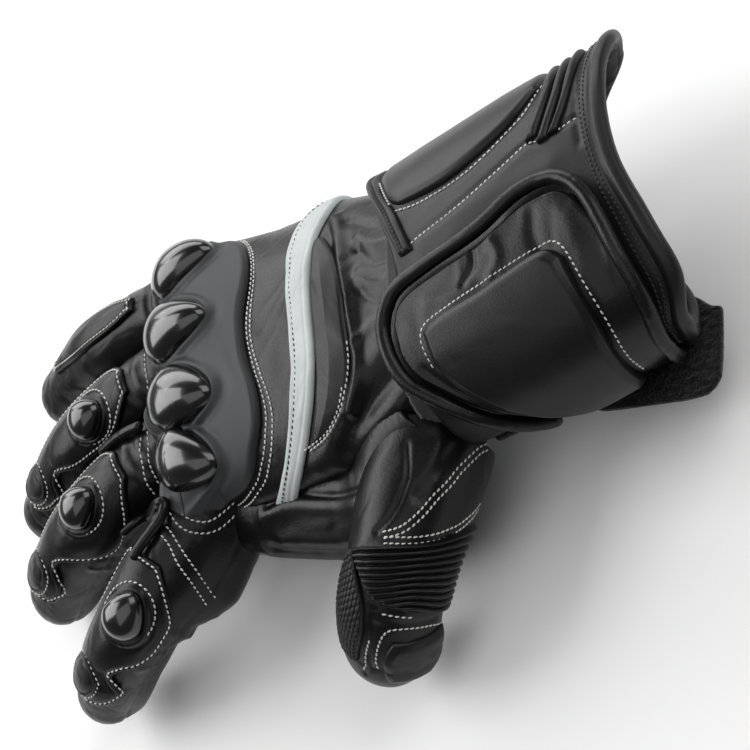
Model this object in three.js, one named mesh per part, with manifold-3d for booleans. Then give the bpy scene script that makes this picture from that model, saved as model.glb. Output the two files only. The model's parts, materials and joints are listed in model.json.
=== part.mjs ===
// Leather motorcycle glove for the right hand, as worn, hollow from the mouth of its cuff to the finger tips.
// Millimetres. The origin is the centre of the cuff's mouth. +X points out of the mouth, +Y to the
// little finger's side and +Z out of the back of the hand.
import * as THREE from 'three';
import { mergeVertices } from 'three/addons/utils/BufferGeometryUtils.js';
import Module from 'manifold-3d';

const wasm = await Module();
wasm.setup();

// Driving dimensions
const leather = 2.2; // wall of the glove
const gap = 0.3; // clearance between pieces that touch
const bed = 0.7; // height over the true skin at which sewn pieces start, clear of its facets
const guardThick = 2.0;
const flapThick = 2.0;
const trimThick = 1.2; // sewn shields, patches and panels
const edgeRadius = 2.3; // rolled edge of the flap
const bindingWidth = 6.0;
const bindingThick = 4.6;
const tieRadius = 1.8;
const handSquareness = 2.2; // exponent of the rounded section, 2 is an ellipse
const cuffSquareness = 2.3;

// Sections of the cuff from its mouth to the wrist
const cuffStations = [
  { x: 0, y: 1, z: 0, half: 51, up: 29, down: 30 },
  { x: -20, y: 1, z: 0, half: 49.5, up: 29.5, down: 29 },
  { x: -50, y: 1.5, z: 0, half: 49.5, up: 29, down: 28 },
  { x: -80, y: 3.5, z: 0, half: 49.2, up: 27, down: 27 },
  { x: -104, y: 7, z: 0, half: 49.2, up: 25, down: 26 },
];

// How far the rim reaches out at every 30 degrees, from the little finger's side over the back of the hand
const rimReach = [2, 9.5, 8, 6.5, 10.5, 10.5, 1, -6, -10, -19, -24, -20];

const rimFade = 3.5; // stations over which the reach of the rim fades out

// Where the cuff ends at the wrist, in stations, at every 30 degrees
const cuffEnds = [3.85, 3.88, 3.42, 3.05, 3.35, 3.1, 3.1, 3.2, 3.3, 3.3, 3.4, 3.6];

// Sections of the back and palm of the hand, from inside the cuff to the front of the knuckles
const handStations = [
  { x: -72, y: 4, z: -2, half: 40, up: 22, down: 20 },
  { x: -98, y: 8, z: -2, half: 41.5, up: 20.5, down: 18.5 },
  { x: -120, y: 14, z: -3, half: 47, up: 20, down: 22 },
  { x: -150, y: 20, z: -4, half: 47.5, up: 19, down: 21 },
  { x: -176, y: 30, z: -5, half: 46.5, up: 18, down: 18 },
  { x: -194, y: 36, z: -8, half: 45, up: 15, down: 14 },
  { x: -203, y: 38, z: -12, half: 42, up: 9, down: 9 },
  { x: -206, y: 38, z: -14, half: 38, up: 3, down: 3 },
];

// Round sleeves along a spine of four points: the web of the thumb, the thumb and the fingers.
// root and tip are the radii, up and down stretch them towards the back and the palm.
const sleeves = {
  web: {
    root: 18, tip: 14, up: 0.92, down: 1.1,
    spine: [
      { x: -99, y: -28, z: -8 }, { x: -128, y: -42, z: -15 },
      { x: -164, y: -34, z: -18 }, { x: -200, y: -16, z: -14 },
    ],
  },
  thumb: {
    root: 18.5, tip: 15.2, up: 0.92, down: 1.1,
    spine: [
      { x: -101, y: -34, z: -10 }, { x: -119, y: -60, z: -6 },
      { x: -133, y: -76, z: -10 }, { x: -145, y: -82.5, z: -20.5 },
    ],
  },
  index: {
    root: 15, tip: 12.5, up: 0.92, down: 1.35,
    spine: [
      { x: -178, y: 4, z: -6 }, { x: -226, y: -34, z: -5 },
      { x: -252, y: -42, z: -15 }, { x: -268, y: -43.5, z: -25 },
    ],
  },
  middle: {
    root: 14, tip: 12, up: 0.92, down: 1.35,
    spine: [
      { x: -180, y: 22, z: -4 }, { x: -240, y: 9, z: -6 },
      { x: -268, y: 6, z: -16 }, { x: -286, y: 4.5, z: -27 },
    ],
  },
  ring: {
    root: 13.5, tip: 11.5, up: 0.92, down: 1.35,
    spine: [
      { x: -178, y: 46, z: -4 }, { x: -238, y: 41, z: -8 },
      { x: -267, y: 39, z: -18 }, { x: -285, y: 37.5, z: -27 },
    ],
  },
  little: {
    root: 12.5, tip: 11.5, up: 0.92, down: 1.35,
    spine: [
      { x: -172, y: 68, z: -10 }, { x: -226, y: 74, z: -12 },
      { x: -250, y: 77, z: -20 }, { x: -270, y: 79, z: -28 },
    ],
  },
};

const rootLength = 0.25; // share of a sleeve over which it grows to its full section
const rootTaper = 0.14; // how much narrower its root is

// Finishes: colour, roughness and metalness
const finishes = {
  leather: [0x1c1b1c, 0.5, 0],
  stretch: [0x19191a, 0.75, 0],
  moulded: [0x3a3a3d, 0.55, 0],
  gloss: [0x0a0a0b, 0.08, 0],
  reflective: [0xc5cfd0, 0.4, 0],
  padded: [0x262526, 0.5, 0],
  hook: [0x070707, 0.95, 0],
};

// Charts: every piece is placed by a station along a sleeve and an angle round it,
// 0 towards the little finger, 90 on the back, 180 towards the thumb and 270 on the palm.

// Smooth curve through one column of a table
function smooth(rows, t, key) {
  const last = rows.length - 1;
  const i = Math.min(Math.max(Math.floor(t), 0), last - 1);
  const f = t - i;
  const b = rows[i][key];
  const c = rows[i + 1][key];
  const a = i > 0 ? rows[i - 1][key] : 2 * b - c;
  const d = i < last - 1 ? rows[i + 2][key] : 2 * c - b;
  return b + 0.5 * f * (c - a + f * (2 * a - 5 * b + 4 * c - d + f * (3 * (b - c) + d - a)));
}

// Smooth closed curve through values that stand 30 degrees apart
function smoothRound(values, angle) {
  const turn = ((((angle % 360) + 360) % 360) / 360) * values.length;
  const i = Math.floor(turn);
  const f = turn - i;
  const at = (k) => values[(k + values.length) % values.length];
  const [a, b, c, d] = [at(i - 1), at(i), at(i + 1), at(i + 2)];
  return b + 0.5 * f * (c - a + f * (2 * a - 5 * b + 4 * c - d + f * (3 * (b - c) + d - a)));
}

function spinePoint(rows, t) {
  return new THREE.Vector3(smooth(rows, t, 'x'), smooth(rows, t, 'y'), smooth(rows, t, 'z'));
}

// Directions at a spine point: along it, sideways and towards the back of the hand
function spineAxes(rows, t) {
  const step = 1e-3;
  const at = Math.min(Math.max(t, step), rows.length - 1 - step);
  const along = spinePoint(rows, at + step).sub(spinePoint(rows, at - step)).normalize();
  const side = new THREE.Vector3(0, 0, 1).cross(along.clone().negate()).normalize();
  const back = along.clone().negate().cross(side);
  return { along, side, back };
}

const power = (value, exponent) => Math.sign(value) * Math.abs(value) ** exponent;

// A point on a sleeve with a rounded, slightly square section
function sectionPoint(rows, squareness, t, angle, lift) {
  const { side, back } = spineAxes(rows, t);
  const turn = THREE.MathUtils.degToRad(angle);
  const high = Math.sin(turn) > 0 ? smooth(rows, t, 'up') : smooth(rows, t, 'down');
  const across = power(Math.cos(turn), 2 / squareness) * (smooth(rows, t, 'half') + lift);
  const above = power(Math.sin(turn), 2 / squareness) * (high + lift);
  return spinePoint(rows, t).addScaledVector(side, across).addScaledVector(back, above);
}

function cuffSection(t, angle, lift = 0) {
  const point = sectionPoint(cuffStations, cuffSquareness, t, angle, lift);
  point.x += Math.max(1 - t / rimFade, 0) ** 2 * smoothRound(rimReach, angle);
  return point;
}

function handSection(t, angle, lift = 0) {
  return sectionPoint(handStations, handSquareness, t, angle, lift);
}

// A finger sleeve: s from 0 to 1 runs along the spine, from 1 to 2 over the round tip
function sleeveSection(sleeve, s, angle, lift = 0) {
  const { root, tip, up, down, spine } = sleeve;
  const u = Math.min(s, 1);
  const t = u * (spine.length - 1);
  const { along, side, back } = spineAxes(spine, t);
  const fromRoot = Math.min(u / rootLength, 1);
  const radius = (root + (tip - root) * u) * (1 - rootTaper * (1 - fromRoot) ** 2);
  const dive = (Math.max(s - 1, 0) * Math.PI) / 2;
  const turn = THREE.MathUtils.degToRad(angle);
  const round = (radius + lift) * Math.cos(dive);
  const flat = Math.sin(turn) > 0 ? up : 1 + (down - 1) * fromRoot;
  return spinePoint(spine, t)
    .addScaledVector(along, (radius + lift) * Math.sin(dive))
    .addScaledVector(side, round * Math.cos(turn))
    .addScaledVector(back, round * Math.sin(turn) * flat);
}

const chartOf = (name) => (s, angle, lift = 0) => sleeveSection(sleeves[name], s, angle, lift);

// Directions on the skin of a chart: along it, round it and out of it
function skinAxes(chart, t, angle) {
  const stepT = 0.01;
  const stepAngle = 1;
  const along = chart(t + stepT, angle).sub(chart(t - stepT, angle));
  const round = chart(t, angle + stepAngle).sub(chart(t, angle - stepAngle));
  const out = along.clone().cross(round).normalize();
  return { along, out, perT: along.length() / (2 * stepT), perDegree: round.length() / (2 * stepAngle) };
}

// A point that stands off the skin of a chart by a real distance
function onSkin(chart, t, angle, lift) {
  return chart(t, angle).addScaledVector(skinAxes(chart, t, angle).out, lift);
}

// Solids from rings and grids of points. Rings run outwards by the right hand rule.

function geometryOf(points, faces) {
  const geometry = new THREE.BufferGeometry();
  geometry.setAttribute('position', new THREE.Float32BufferAttribute(points.flatMap((p) => p.toArray()), 3));
  geometry.setIndex(faces);
  return geometry;
}

// A closed solid through rings of equal count. A first or last ring of one point is a pole,
// and a ring end without one is closed by a fan to its middle. looped joins the last ring to the first.
function ringSolid(rings, looped = false) {
  const points = [];
  const starts = rings.map((ring) => {
    points.push(...ring);
    return points.length - ring.length;
  });
  const faces = [];
  const join = (a, b) => {
    const count = Math.max(rings[a].length, rings[b].length);
    for (let j = 0; j < count; j += 1) {
      const k = (j + 1) % count;
      const [a0, a1] = rings[a].length === 1 ? [starts[a], starts[a]] : [starts[a] + j, starts[a] + k];
      const [b0, b1] = rings[b].length === 1 ? [starts[b], starts[b]] : [starts[b] + j, starts[b] + k];
      if (b0 !== b1) faces.push(a0, b0, b1);
      if (a0 !== a1) faces.push(a0, b1, a1);
    }
  };
  for (let i = 0; i + 1 < rings.length; i += 1) join(i, i + 1);
  if (looped) {
    join(rings.length - 1, 0);
    return geometryOf(points, faces);
  }
  const fan = (ring, start, flipped) => {
    if (ring.length === 1) return;
    const middle = ring.reduce((sum, p) => sum.add(p), new THREE.Vector3()).divideScalar(ring.length);
    points.push(middle);
    for (let j = 0; j < ring.length; j += 1) {
      const k = (j + 1) % ring.length;
      if (flipped) faces.push(points.length - 1, start + k, start + j);
      else faces.push(points.length - 1, start + j, start + k);
    }
  };
  fan(rings[0], starts[0], false);
  fan(rings.at(-1), starts.at(-1), true);
  return geometryOf(points, faces);
}

// A ring of a chart at one station
function chartRing(chart, t, sides, lift) {
  return Array.from({ length: sides }, (_, j) => chart(t, (360 * j) / sides, lift));
}

// Evenly spaced values from a to b
const steps = (a, b, count) => Array.from({ length: count + 1 }, (_, i) => a + ((b - a) * i) / count);

// A slab that lies on a chart: grid holds rows of [station, angle], and rise gives how far its
// outer face stands off the skin at a grid place (0 to 1 each way), its inner face is at low
function slab(chart, grid, low, rise) {
  const m = grid.length;
  const n = grid[0].length;
  const lift = (i, j) => (typeof rise === 'function' ? rise(i / (m - 1), j / (n - 1)) : rise);
  const top = grid.flatMap((row, i) => row.map(([t, angle], j) => onSkin(chart, t, angle, lift(i, j))));
  const bottom = grid.flatMap((row) => row.map(([t, angle]) => onSkin(chart, t, angle, low)));
  const faces = [];
  const quad = (a, b, c, d) => faces.push(a, b, c, a, c, d);
  const base = m * n;
  for (let i = 0; i + 1 < m; i += 1) {
    for (let j = 0; j + 1 < n; j += 1) {
      const [a, b, c, d] = [i * n + j, (i + 1) * n + j, (i + 1) * n + j + 1, i * n + j + 1];
      quad(a, b, c, d);
      quad(base + d, base + c, base + b, base + a);
    }
  }
  const border = [];
  for (let i = 0; i + 1 < m; i += 1) border.push(i * n);
  for (let j = 0; j + 1 < n; j += 1) border.push((m - 1) * n + j);
  for (let i = m - 1; i > 0; i -= 1) border.push(i * n + n - 1);
  for (let j = n - 1; j > 0; j -= 1) border.push(j);
  border.forEach((a, k) => {
    const b = border[(k + 1) % border.length];
    quad(a, base + a, base + b, b);
  });
  return geometryOf([...top, ...bottom], faces);
}

// Grid for a slab whose rows stand at stations along a sleeve, each between two angles
function acrossGrid(rows, alongCount, roundCount) {
  return steps(0, rows.length - 1, alongCount).map((k) =>
    steps(smooth(rows, k, 'from'), smooth(rows, k, 'to'), roundCount).map((angle) => [smooth(rows, k, 't'), angle]));
}

// Grid for a slab whose columns stand at angles, each between two stations
function alongGrid(columns, roundCount, alongCount) {
  const across = steps(0, columns.length - 1, roundCount).map((k) =>
    steps(smooth(columns, k, 'near'), smooth(columns, k, 'far'), alongCount)
      .map((t) => [t, smooth(columns, k, 'angle')]));
  return across[0].map((_, i) => across.map((column) => column[i]));
}

// A crowned rise: low at the border, high over the middle
const arch = (u) => (1 - (2 * u - 1) ** 4) ** 0.5;
const crown = (edge, height) => (u, v) => edge + height * arch(u) * arch(v);

// An oval boss on a chart: length runs along the sleeve and turns by degrees, tail stretches its wrist end
function boss(chart, at, sides, profile, low) {
  const { t, angle, length, width, turn = 0, tail = 0 } = at;
  const { perT, perDegree } = skinAxes(chart, t, angle);
  const place = (reach, k) => {
    const a = (2 * Math.PI * k) / sides;
    const tailed = Math.cos(a) < 0 ? 1 + tail * Math.cos(a) ** 2 : 1;
    const u = reach * (length / 2) * Math.cos(a) * tailed;
    const v = reach * (width / 2) * Math.sin(a);
    const c = Math.cos(THREE.MathUtils.degToRad(turn));
    const s = Math.sin(THREE.MathUtils.degToRad(turn));
    return [t + (u * c - v * s) / perT, angle + (u * s + v * c) / perDegree];
  };
  const ring = (reach, lift) => Array.from({ length: sides }, (_, k) => onSkin(chart, ...place(reach, k), lift));
  const tops = profile.map(({ reach, high }) => (reach === 0
    ? [onSkin(chart, t, angle, high)]
    : ring(reach, high)));
  return ringSolid([...tops, ring(1, low), [onSkin(chart, t, angle, low)]]);
}

// A round cord of leather through points
function cordThrough(points, radius, stepsAlong) {
  const path = new THREE.CatmullRomCurve3(points, false, 'centripetal');
  const sides = 6;
  const section = new THREE.Shape(
    steps(0, 2 * Math.PI, sides).slice(0, sides).map((a) =>
      new THREE.Vector2(radius * Math.cos(a), radius * Math.sin(a))));
  return new THREE.ExtrudeGeometry(section, { steps: stepsAlong, bevelEnabled: false, extrudePath: path });
}

// Boolean helpers

function solidOf(geometry) {
  geometry.deleteAttribute('normal');
  geometry.deleteAttribute('uv');
  const merged = mergeVertices(geometry, 1e-4);
  return new wasm.Manifold(new wasm.Mesh({
    numProp: 3,
    vertProperties: new Float32Array(merged.attributes.position.array),
    triVerts: new Uint32Array(merged.index.array),
  }));
}

// The largest piece of a solid, so that no sliver stays behind after a cut
function mainPart(solid) {
  const parts = solid.decompose();
  return parts.reduce((best, part) => (part.volume() > best.volume() ? part : best));
}

function geometryFrom(solid) {
  const mesh = solid.getMesh();
  const geometry = new THREE.BufferGeometry();
  geometry.setAttribute('position', new THREE.BufferAttribute(new Float32Array(mesh.vertProperties), 3));
  geometry.setIndex(Array.from(mesh.triVerts));
  return geometry;
}

const cut = (solid, ...tools) => tools.reduce((rest, tool) => rest.subtract(tool), solid);

// A solid stretched about its middle until each side stands out by a given distance
function grown(solid, by) {
  const { min, max } = solid.boundingBox();
  const middle = min.map((low, k) => (low + max[k]) / 2);
  const scale = min.map((low, k) => 1 + (2 * by) / (max[k] - low));
  return solid.translate(middle.map((x) => -x)).scale(scale).translate(middle);
}

const glove = new THREE.Group();

function add(name, shape, finish) {
  const geometry = shape instanceof THREE.BufferGeometry ? shape : geometryFrom(mainPart(shape));
  geometry.deleteAttribute('normal');
  geometry.deleteAttribute('uv');
  const clean = mergeVertices(geometry, 1e-4);
  clean.computeVertexNormals();
  const [color, roughness, metalness] = finishes[finish];
  const mesh = new THREE.Mesh(clean, new THREE.MeshStandardMaterial({ color, roughness, metalness }));
  mesh.name = name;
  glove.add(mesh);
}

// Cuff

const cuffSides = 26;

// Station at a distance behind the rim, which stretches the first stations where it reaches out
const behindRim = (distance, angle) => distance / (20 + (2 * smoothRound(rimReach, angle)) / rimFade);

// The cuff ends along a line that isn't square to it, so its rings are mixed between both ends
function cuffRings(lift, distance, past) {
  return steps(0, 1, 4).map((w) => Array.from({ length: cuffSides }, (_, j) => {
    const angle = (360 * j) / cuffSides;
    const start = behindRim(distance, angle);
    return cuffSection(start + (smoothRound(cuffEnds, angle) + past - start) * w, angle, lift);
  }));
}

const cuffDistance = bindingWidth + 2 * gap;
const cuffFilled = solidOf(ringSolid(cuffRings(gap, cuffDistance, 0.02)));
const cuffOuter = solidOf(ringSolid(cuffRings(0, cuffDistance, 0)));
const cuffInner = solidOf(ringSolid(cuffRings(-leather, -2, 0.25)));

// Hand, web and stalls

const handSides = 22;
const webSides = 12;
const stallSides = 12;
const stallSteps = 6;
const handRows = [0, 1, 2, 3, 4, 4.7, 5.3, 5.9, 6.5, 7];

function handSolid(lift, rows) {
  return solidOf(ringSolid(rows.map((t) => chartRing(handSection, t, handSides, lift))));
}

function sleeveSolid(name, lift, sides, count) {
  const rows = [...steps(0, 1, count), 1.55];
  const chart = chartOf(name);
  return solidOf(ringSolid([...rows.map((s) => chartRing(chart, s, sides, lift)), [chart(2, 0, lift)]]));
}

const innerRows = handRows.filter((t) => t > 0 && t < 6.6);
const wristMouth = handStations[0].x + 8; // the hollow is cut past the wrist end
const openRing = chartRing(handSection, 0, handSides, -leather)
  .map((p) => new THREE.Vector3(wristMouth, p.y, p.z));
const handHollow = solidOf(ringSolid([
  openRing,
  chartRing(handSection, 0, handSides, -leather),
  ...innerRows.map((t) => chartRing(handSection, t, handSides, -leather)),
]));
const webReach = cut(sleeveSolid('web', gap, webSides, 5), cuffFilled);
const webFull = cut(sleeveSolid('web', 0, webSides, 5), cuffFilled);
const webHollow = cut(sleeveSolid('web', -leather, webSides, 5), cuffFilled);
const fingerNames = ['index', 'middle', 'ring', 'little'];
const fingerHollows = fingerNames.map((name) => sleeveSolid(name, -leather, stallSides, stallSteps));
const thumbHollow = sleeveSolid('thumb', -leather, stallSides, stallSteps);
const handOuter = handSolid(0, handRows).add(webFull);
const handRoom = handHollow.add(webHollow);
add('hand_body', cut(handOuter, handRoom, ...fingerHollows, thumbHollow), 'leather');

// Knuckle guard

// Its columns from the little finger's side to the thumb's: wrist edge and finger edge, in stations
const guardColumns = [
  { angle: 22, near: 4.3, far: 4.85 },
  { angle: 30, near: 3.83, far: 5.15 },
  { angle: 43, near: 3.5, far: 5.35 },
  { angle: 61, near: 3.23, far: 5.12 },
  { angle: 79, near: 3.15, far: 5.2 },
  { angle: 93, near: 3.02, far: 4.95 },
  { angle: 107, near: 2.86, far: 4.98 },
  { angle: 122, near: 2.83, far: 4.78 },
  { angle: 137, near: 2.92, far: 4.82 },
  { angle: 152, near: 3.2, far: 4.85 },
  { angle: 166, near: 3.75, far: 4.8 },
  { angle: 173, near: 4.25, far: 4.6 },
];
const guardGrid = alongGrid(guardColumns, 19, 4);
const guardTop = bed + guardThick;
const underSkin = -4; // where the room for a piece starts, well below the leather
const guardRoomColumns = guardColumns
  .map(({ angle, near, far }) => ({ angle, near: near - 0.05, far: far + 0.08 }));
const guardRoomGrid = alongGrid(guardRoomColumns, 19, 4);
const guardRoom = solidOf(slab(handSection, guardRoomGrid, underSkin, guardTop + 2 * gap));
add('knuckle_guard', slab(handSection, guardGrid, bed, guardTop), 'moulded');

const knuckles = [
  { t: 4.72, angle: 43, length: 24, width: 17, turn: 8, tail: 0.3 },
  { t: 4.42, angle: 79, length: 25, width: 18, turn: 4, tail: 0.3 },
  { t: 4.12, angle: 107, length: 25, width: 18, turn: 0, tail: 0.3 },
  { t: 4.02, angle: 137, length: 24, width: 17.5, turn: -4, tail: 0.3 },
];
const knuckleHigh = 8.5;
const domeProfile = (low, high) => [
  { reach: 0, high: low + high },
  { reach: 0.5, high: low + high * 0.86 },
  { reach: 0.83, high: low + high * 0.55 },
  { reach: 1, high: low + 0.8 },
];
const knuckleLow = guardTop + bed;
knuckles.forEach((knuckle, k) => {
  const profile = domeProfile(knuckleLow, knuckleHigh);
  add(`knuckle_dome_${k + 1}`, boss(handSection, knuckle, 12, profile, knuckleLow), 'gloss');
});
const lastKnuckle = knuckles.at(-1);
const knuckleRoom = { ...lastKnuckle, length: lastKnuckle.length + 2, width: lastKnuckle.width + 2 };
const knuckleRoomProfile = domeProfile(guardTop, knuckleHigh + 1.5);
const thumbSideKnuckle = solidOf(boss(handSection, knuckleRoom, 12, knuckleRoomProfile, underSkin));

// Stalls of the fingers and the thumb, trimmed where they leave the hand

const handFront = handOuter.translate([-2 * gap, 0, 0]);
const handReach = grown(handSolid(gap, handRows).add(webReach), gap).add(handFront);
const earlier = [];
fingerNames.forEach((name, k) => {
  const full = sleeveSolid(name, 0, stallSides, stallSteps);
  const hollow = sleeveSolid(name, -leather, stallSides, stallSteps);
  const stall = cut(full, hollow, handReach, guardRoom, thumbSideKnuckle, ...earlier);
  add(`${name}_stall`, stall, 'leather');
  earlier.push(sleeveSolid(name, gap, stallSides, stallSteps));
});
const thumbStall = cut(
  sleeveSolid('thumb', 0, stallSides, stallSteps),
  sleeveSolid('thumb', -leather, stallSides, stallSteps),
  handReach,
  cuffFilled,
);
add('thumb_stall', thumbStall, 'leather');

// Shields on the fingers: rows along each finger, between two angles

const shields = {
  index: [
    { t: 0.22, from: 82, to: 122 }, { t: 0.27, from: 62, to: 138 }, { t: 0.34, from: 57, to: 172 },
    { t: 0.43, from: 56, to: 168 }, { t: 0.52, from: 58, to: 142 }, { t: 0.6, from: 60, to: 138 },
    { t: 0.7, from: 66, to: 160 }, { t: 0.79, from: 76, to: 146 },
  ],
  middle: [
    { t: 0.21, from: 80, to: 116 }, { t: 0.26, from: 60, to: 144 }, { t: 0.32, from: 57, to: 176 },
    { t: 0.4, from: 57, to: 174 }, { t: 0.49, from: 60, to: 142 }, { t: 0.59, from: 64, to: 128 },
    { t: 0.69, from: 70, to: 150 }, { t: 0.8, from: 80, to: 138 },
  ],
  ring: [
    { t: 0.19, from: 80, to: 112 }, { t: 0.25, from: 58, to: 136 }, { t: 0.33, from: 53, to: 150 },
    { t: 0.41, from: 56, to: 144 }, { t: 0.49, from: 60, to: 126 }, { t: 0.56, from: 62, to: 124 },
    { t: 0.65, from: 68, to: 148 }, { t: 0.76, from: 80, to: 134 },
  ],
  little: [
    { t: 0.22, from: 70, to: 96 }, { t: 0.3, from: 58, to: 108 }, { t: 0.45, from: 56, to: 111 },
    { t: 0.6, from: 62, to: 105 }, { t: 0.77, from: 78, to: 97 },
  ],
};
const shieldTop = bed + trimThick;
Object.entries(shields).forEach(([name, rows]) => {
  add(`${name}_shield`, slab(chartOf(name), acrossGrid(rows, rows.length - 1, 6), bed, shieldTop), 'leather');
});

const fingerDomes = {
  index: { t: 0.37, angle: 115, length: 15, width: 13 },
  middle: { t: 0.34, angle: 102, length: 14.5, width: 12.5 },
  ring: { t: 0.3, angle: 105, length: 14, width: 12 },
};
const fingerDomeHigh = 6;
Object.entries(fingerDomes).forEach(([name, place]) => {
  const low = shieldTop + bed;
  add(`${name}_dome`, boss(chartOf(name), place, 10, domeProfile(low, fingerDomeHigh), low), 'gloss');
});

const tipPatches = {
  index: { t: 0.72, angle: 100, length: 19, width: 13 },
  middle: { t: 0.74, angle: 100, length: 18, width: 12 },
  ring: { t: 0.69, angle: 102, length: 17, width: 11.5 },
};
Object.entries(tipPatches).forEach(([name, place]) => {
  const low = shieldTop + bed;
  const profile = [{ reach: 0, high: low + 0.9 }, { reach: 1, high: low + 0.6 }];
  add(`${name}_tip_patch`, boss(chartOf(name), place, 10, profile, low), 'padded');
});

// Rolled ties: a straight one beside the middle shield, and a loop from the middle to the index finger

const tieLift = tieRadius + bed;
const ties = [
  [
    { name: 'middle', s: 0.235, angle: 44 }, { name: 'middle', s: 0.19, angle: 58 },
    { name: 'middle', s: 0.14, angle: 76 },
  ],
  [
    { name: 'middle', s: 0.3, angle: 186 }, { name: 'middle', s: 0.25, angle: 184 },
    { name: 'index', s: 0.165, angle: 64 }, { name: 'index', s: 0.145, angle: 80 },
    { name: 'index', s: 0.165, angle: 92 }, { name: 'index', s: 0.19, angle: 84 },
  ],
];
ties.forEach((places, k) => {
  const points = places.map(({ name, s, angle }) => onSkin(chartOf(name), s, angle, tieLift));
  add(`finger_tie_${k + 1}`, cordThrough(points, tieRadius, 5 * (k + 1)), 'leather');
});

// Reflective band and padded panel on the back of the hand

const bandColumns = [
  { angle: -8, near: 2.05, far: 2.3 },
  { angle: 20, near: 2.1, far: 2.4 },
  { angle: 45, near: 2.12, far: 2.48 },
  { angle: 72, near: 2.12, far: 2.46 },
  { angle: 95, near: 2.1, far: 2.45 },
  { angle: 120, near: 2.24, far: 2.58 },
  { angle: 155, near: 2.57, far: 2.86 },
  { angle: 184, near: 2.88, far: 3.14 },
];
const band = solidOf(slab(handSection, alongGrid(bandColumns, 16, 1), bed, bed + 1));
add('reflective_piping', cut(band, webReach), 'reflective');

const padColumns = [
  { angle: 56, near: 1.72, far: 2.0 },
  { angle: 63, near: 1.48, far: 2.08 },
  { angle: 78, near: 1.34, far: 2.1 },
  { angle: 95, near: 1.28, far: 2.06 },
  { angle: 112, near: 1.33, far: 2.14 },
  { angle: 128, near: 1.45, far: 2.26 },
  { angle: 142, near: 1.65, far: 2.38 },
  { angle: 150, near: 1.95, far: 2.42 },
];
const wristPadHigh = 2.4;
add('wrist_pad', slab(handSection, alongGrid(padColumns, 10, 4), bed, crown(bed + 0.8, wristPadHigh)), 'padded');

// Pieces of the cuff

// Rolled binding round the mouth: a rounded section in front of the cuff's edge
function bindingGeometry() {
  const sides = 6;
  const rings = steps(0, 360, cuffSides).slice(0, cuffSides).map((angle) => {
    const middle = behindRim(bindingWidth / 2, angle);
    const { along, out } = skinAxes(cuffSection, middle, angle);
    const centre = onSkin(cuffSection, middle, angle, -leather / 2);
    along.normalize();
    return Array.from({ length: sides }, (_, j) => {
      const a = (2 * Math.PI * j) / sides;
      return centre.clone()
        .addScaledVector(along, (bindingWidth / 2 - 0.1) * Math.cos(a))
        .addScaledVector(out, (bindingThick / 2) * Math.sin(a));
    });
  });
  return ringSolid(rings, true);
}
add('cuff_binding', bindingGeometry(), 'leather');

add('cuff', cut(cuffOuter, cuffInner), 'leather');

const panelRows = [
  { t: 1.1, from: -18, to: 49 },
  { t: 1.45, from: -24, to: 62 },
  { t: 2.15, from: -26, to: 67 },
  { t: 2.95, from: -24, to: 66 },
  { t: 3.25, from: -8, to: 48 },
  { t: 3.46, from: 8, to: 34 },
];
add('cuff_panel', slab(cuffSection, acrossGrid(panelRows, 6, 7), bed, crown(bed + 0.7, 1.1)), 'padded');

const wristBandColumns = [
  { angle: 12, near: 3.56, far: 3.8 },
  { angle: 34, near: 3.55, far: 3.78 },
  { angle: 50, near: 3.33, far: 3.53 },
  { angle: 66, near: 3.02, far: 3.22 },
  { angle: 86, near: 2.74, far: 2.94 },
];
add('wrist_band', slab(cuffSection, alongGrid(wristBandColumns, 8, 1), bed, bed + 1.2), 'leather');

const ribStations = [0.98, 0.76, 0.54];
ribStations.forEach((t, k) => {
  const columns = [
    { angle: 22, near: t - 0.01, far: t + 0.01 },
    { angle: 40, near: t - 0.06, far: t + 0.06 },
    { angle: 62, near: t - 0.07, far: t + 0.07 },
    { angle: 80, near: t - 0.01, far: t + 0.01 },
  ];
  const ribRise = (u) => bed + 0.6 + 1.1 * (1 - (2 * u - 1) ** 2);
  add(`stretch_rib_${k + 1}`, slab(cuffSection, alongGrid(columns, 6, 2), bed, ribRise), 'stretch');
});

// Closing flap over the back of the cuff, inside its rolled edge
const flapRows = [
  { t: 0.68, from: 110, to: 224 },
  { t: 0.84, from: 98.5, to: 225 },
  { t: 1.3, from: 95, to: 226 },
  { t: 1.6, from: 97, to: 222 },
  { t: 1.85, from: 98.5, to: 208 },
  { t: 2.08, from: 99, to: 192 },
  { t: 2.4, from: 99.5, to: 173 },
  { t: 2.75, from: 100.5, to: 147 },
  { t: 2.98, from: 103.5, to: 133 },
  { t: 3.08, from: 110, to: 122 },
];
const flapBed = 1.6; // the flap bends over coarser facets
const flapTop = flapBed + flapThick;
const flapEdgePlaces = [
  [0.52, 200], [0.5, 170], [0.52, 140], [0.52, 118], [0.56, 103], [0.8, 94], [1.3, 91], [1.9, 94.5],
  [2.5, 95.5], [2.95, 98], [3.17, 106], [3.2, 118], [3.08, 134], [2.8, 151], [2.43, 178], [2.12, 196],
];
add('cuff_flap', slab(cuffSection, acrossGrid(flapRows, 10, 11), flapBed, flapTop), 'leather');
const flapEdgePoints = flapEdgePlaces.map(([t, angle]) => onSkin(cuffSection, t, angle, edgeRadius + flapBed));
add('flap_edge', cordThrough(flapEdgePoints, edgeRadius, 26), 'leather');

const flapPadRows = [
  { t: 1.12, from: 120, to: 199 },
  { t: 1.28, from: 114, to: 201 },
  { t: 1.7, from: 114, to: 199 },
  { t: 2.05, from: 115, to: 184 },
  { t: 2.35, from: 115, to: 166 },
  { t: 2.58, from: 116, to: 146 },
  { t: 2.7, from: 118, to: 131 },
];
const flapPadLow = flapTop + 2 * bed + gap;
const flapPadRise = crown(flapPadLow + 0.7, 1.8);
add('flap_pad', slab(cuffSection, acrossGrid(flapPadRows, 5, 9), flapPadLow, flapPadRise), 'padded');

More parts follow.
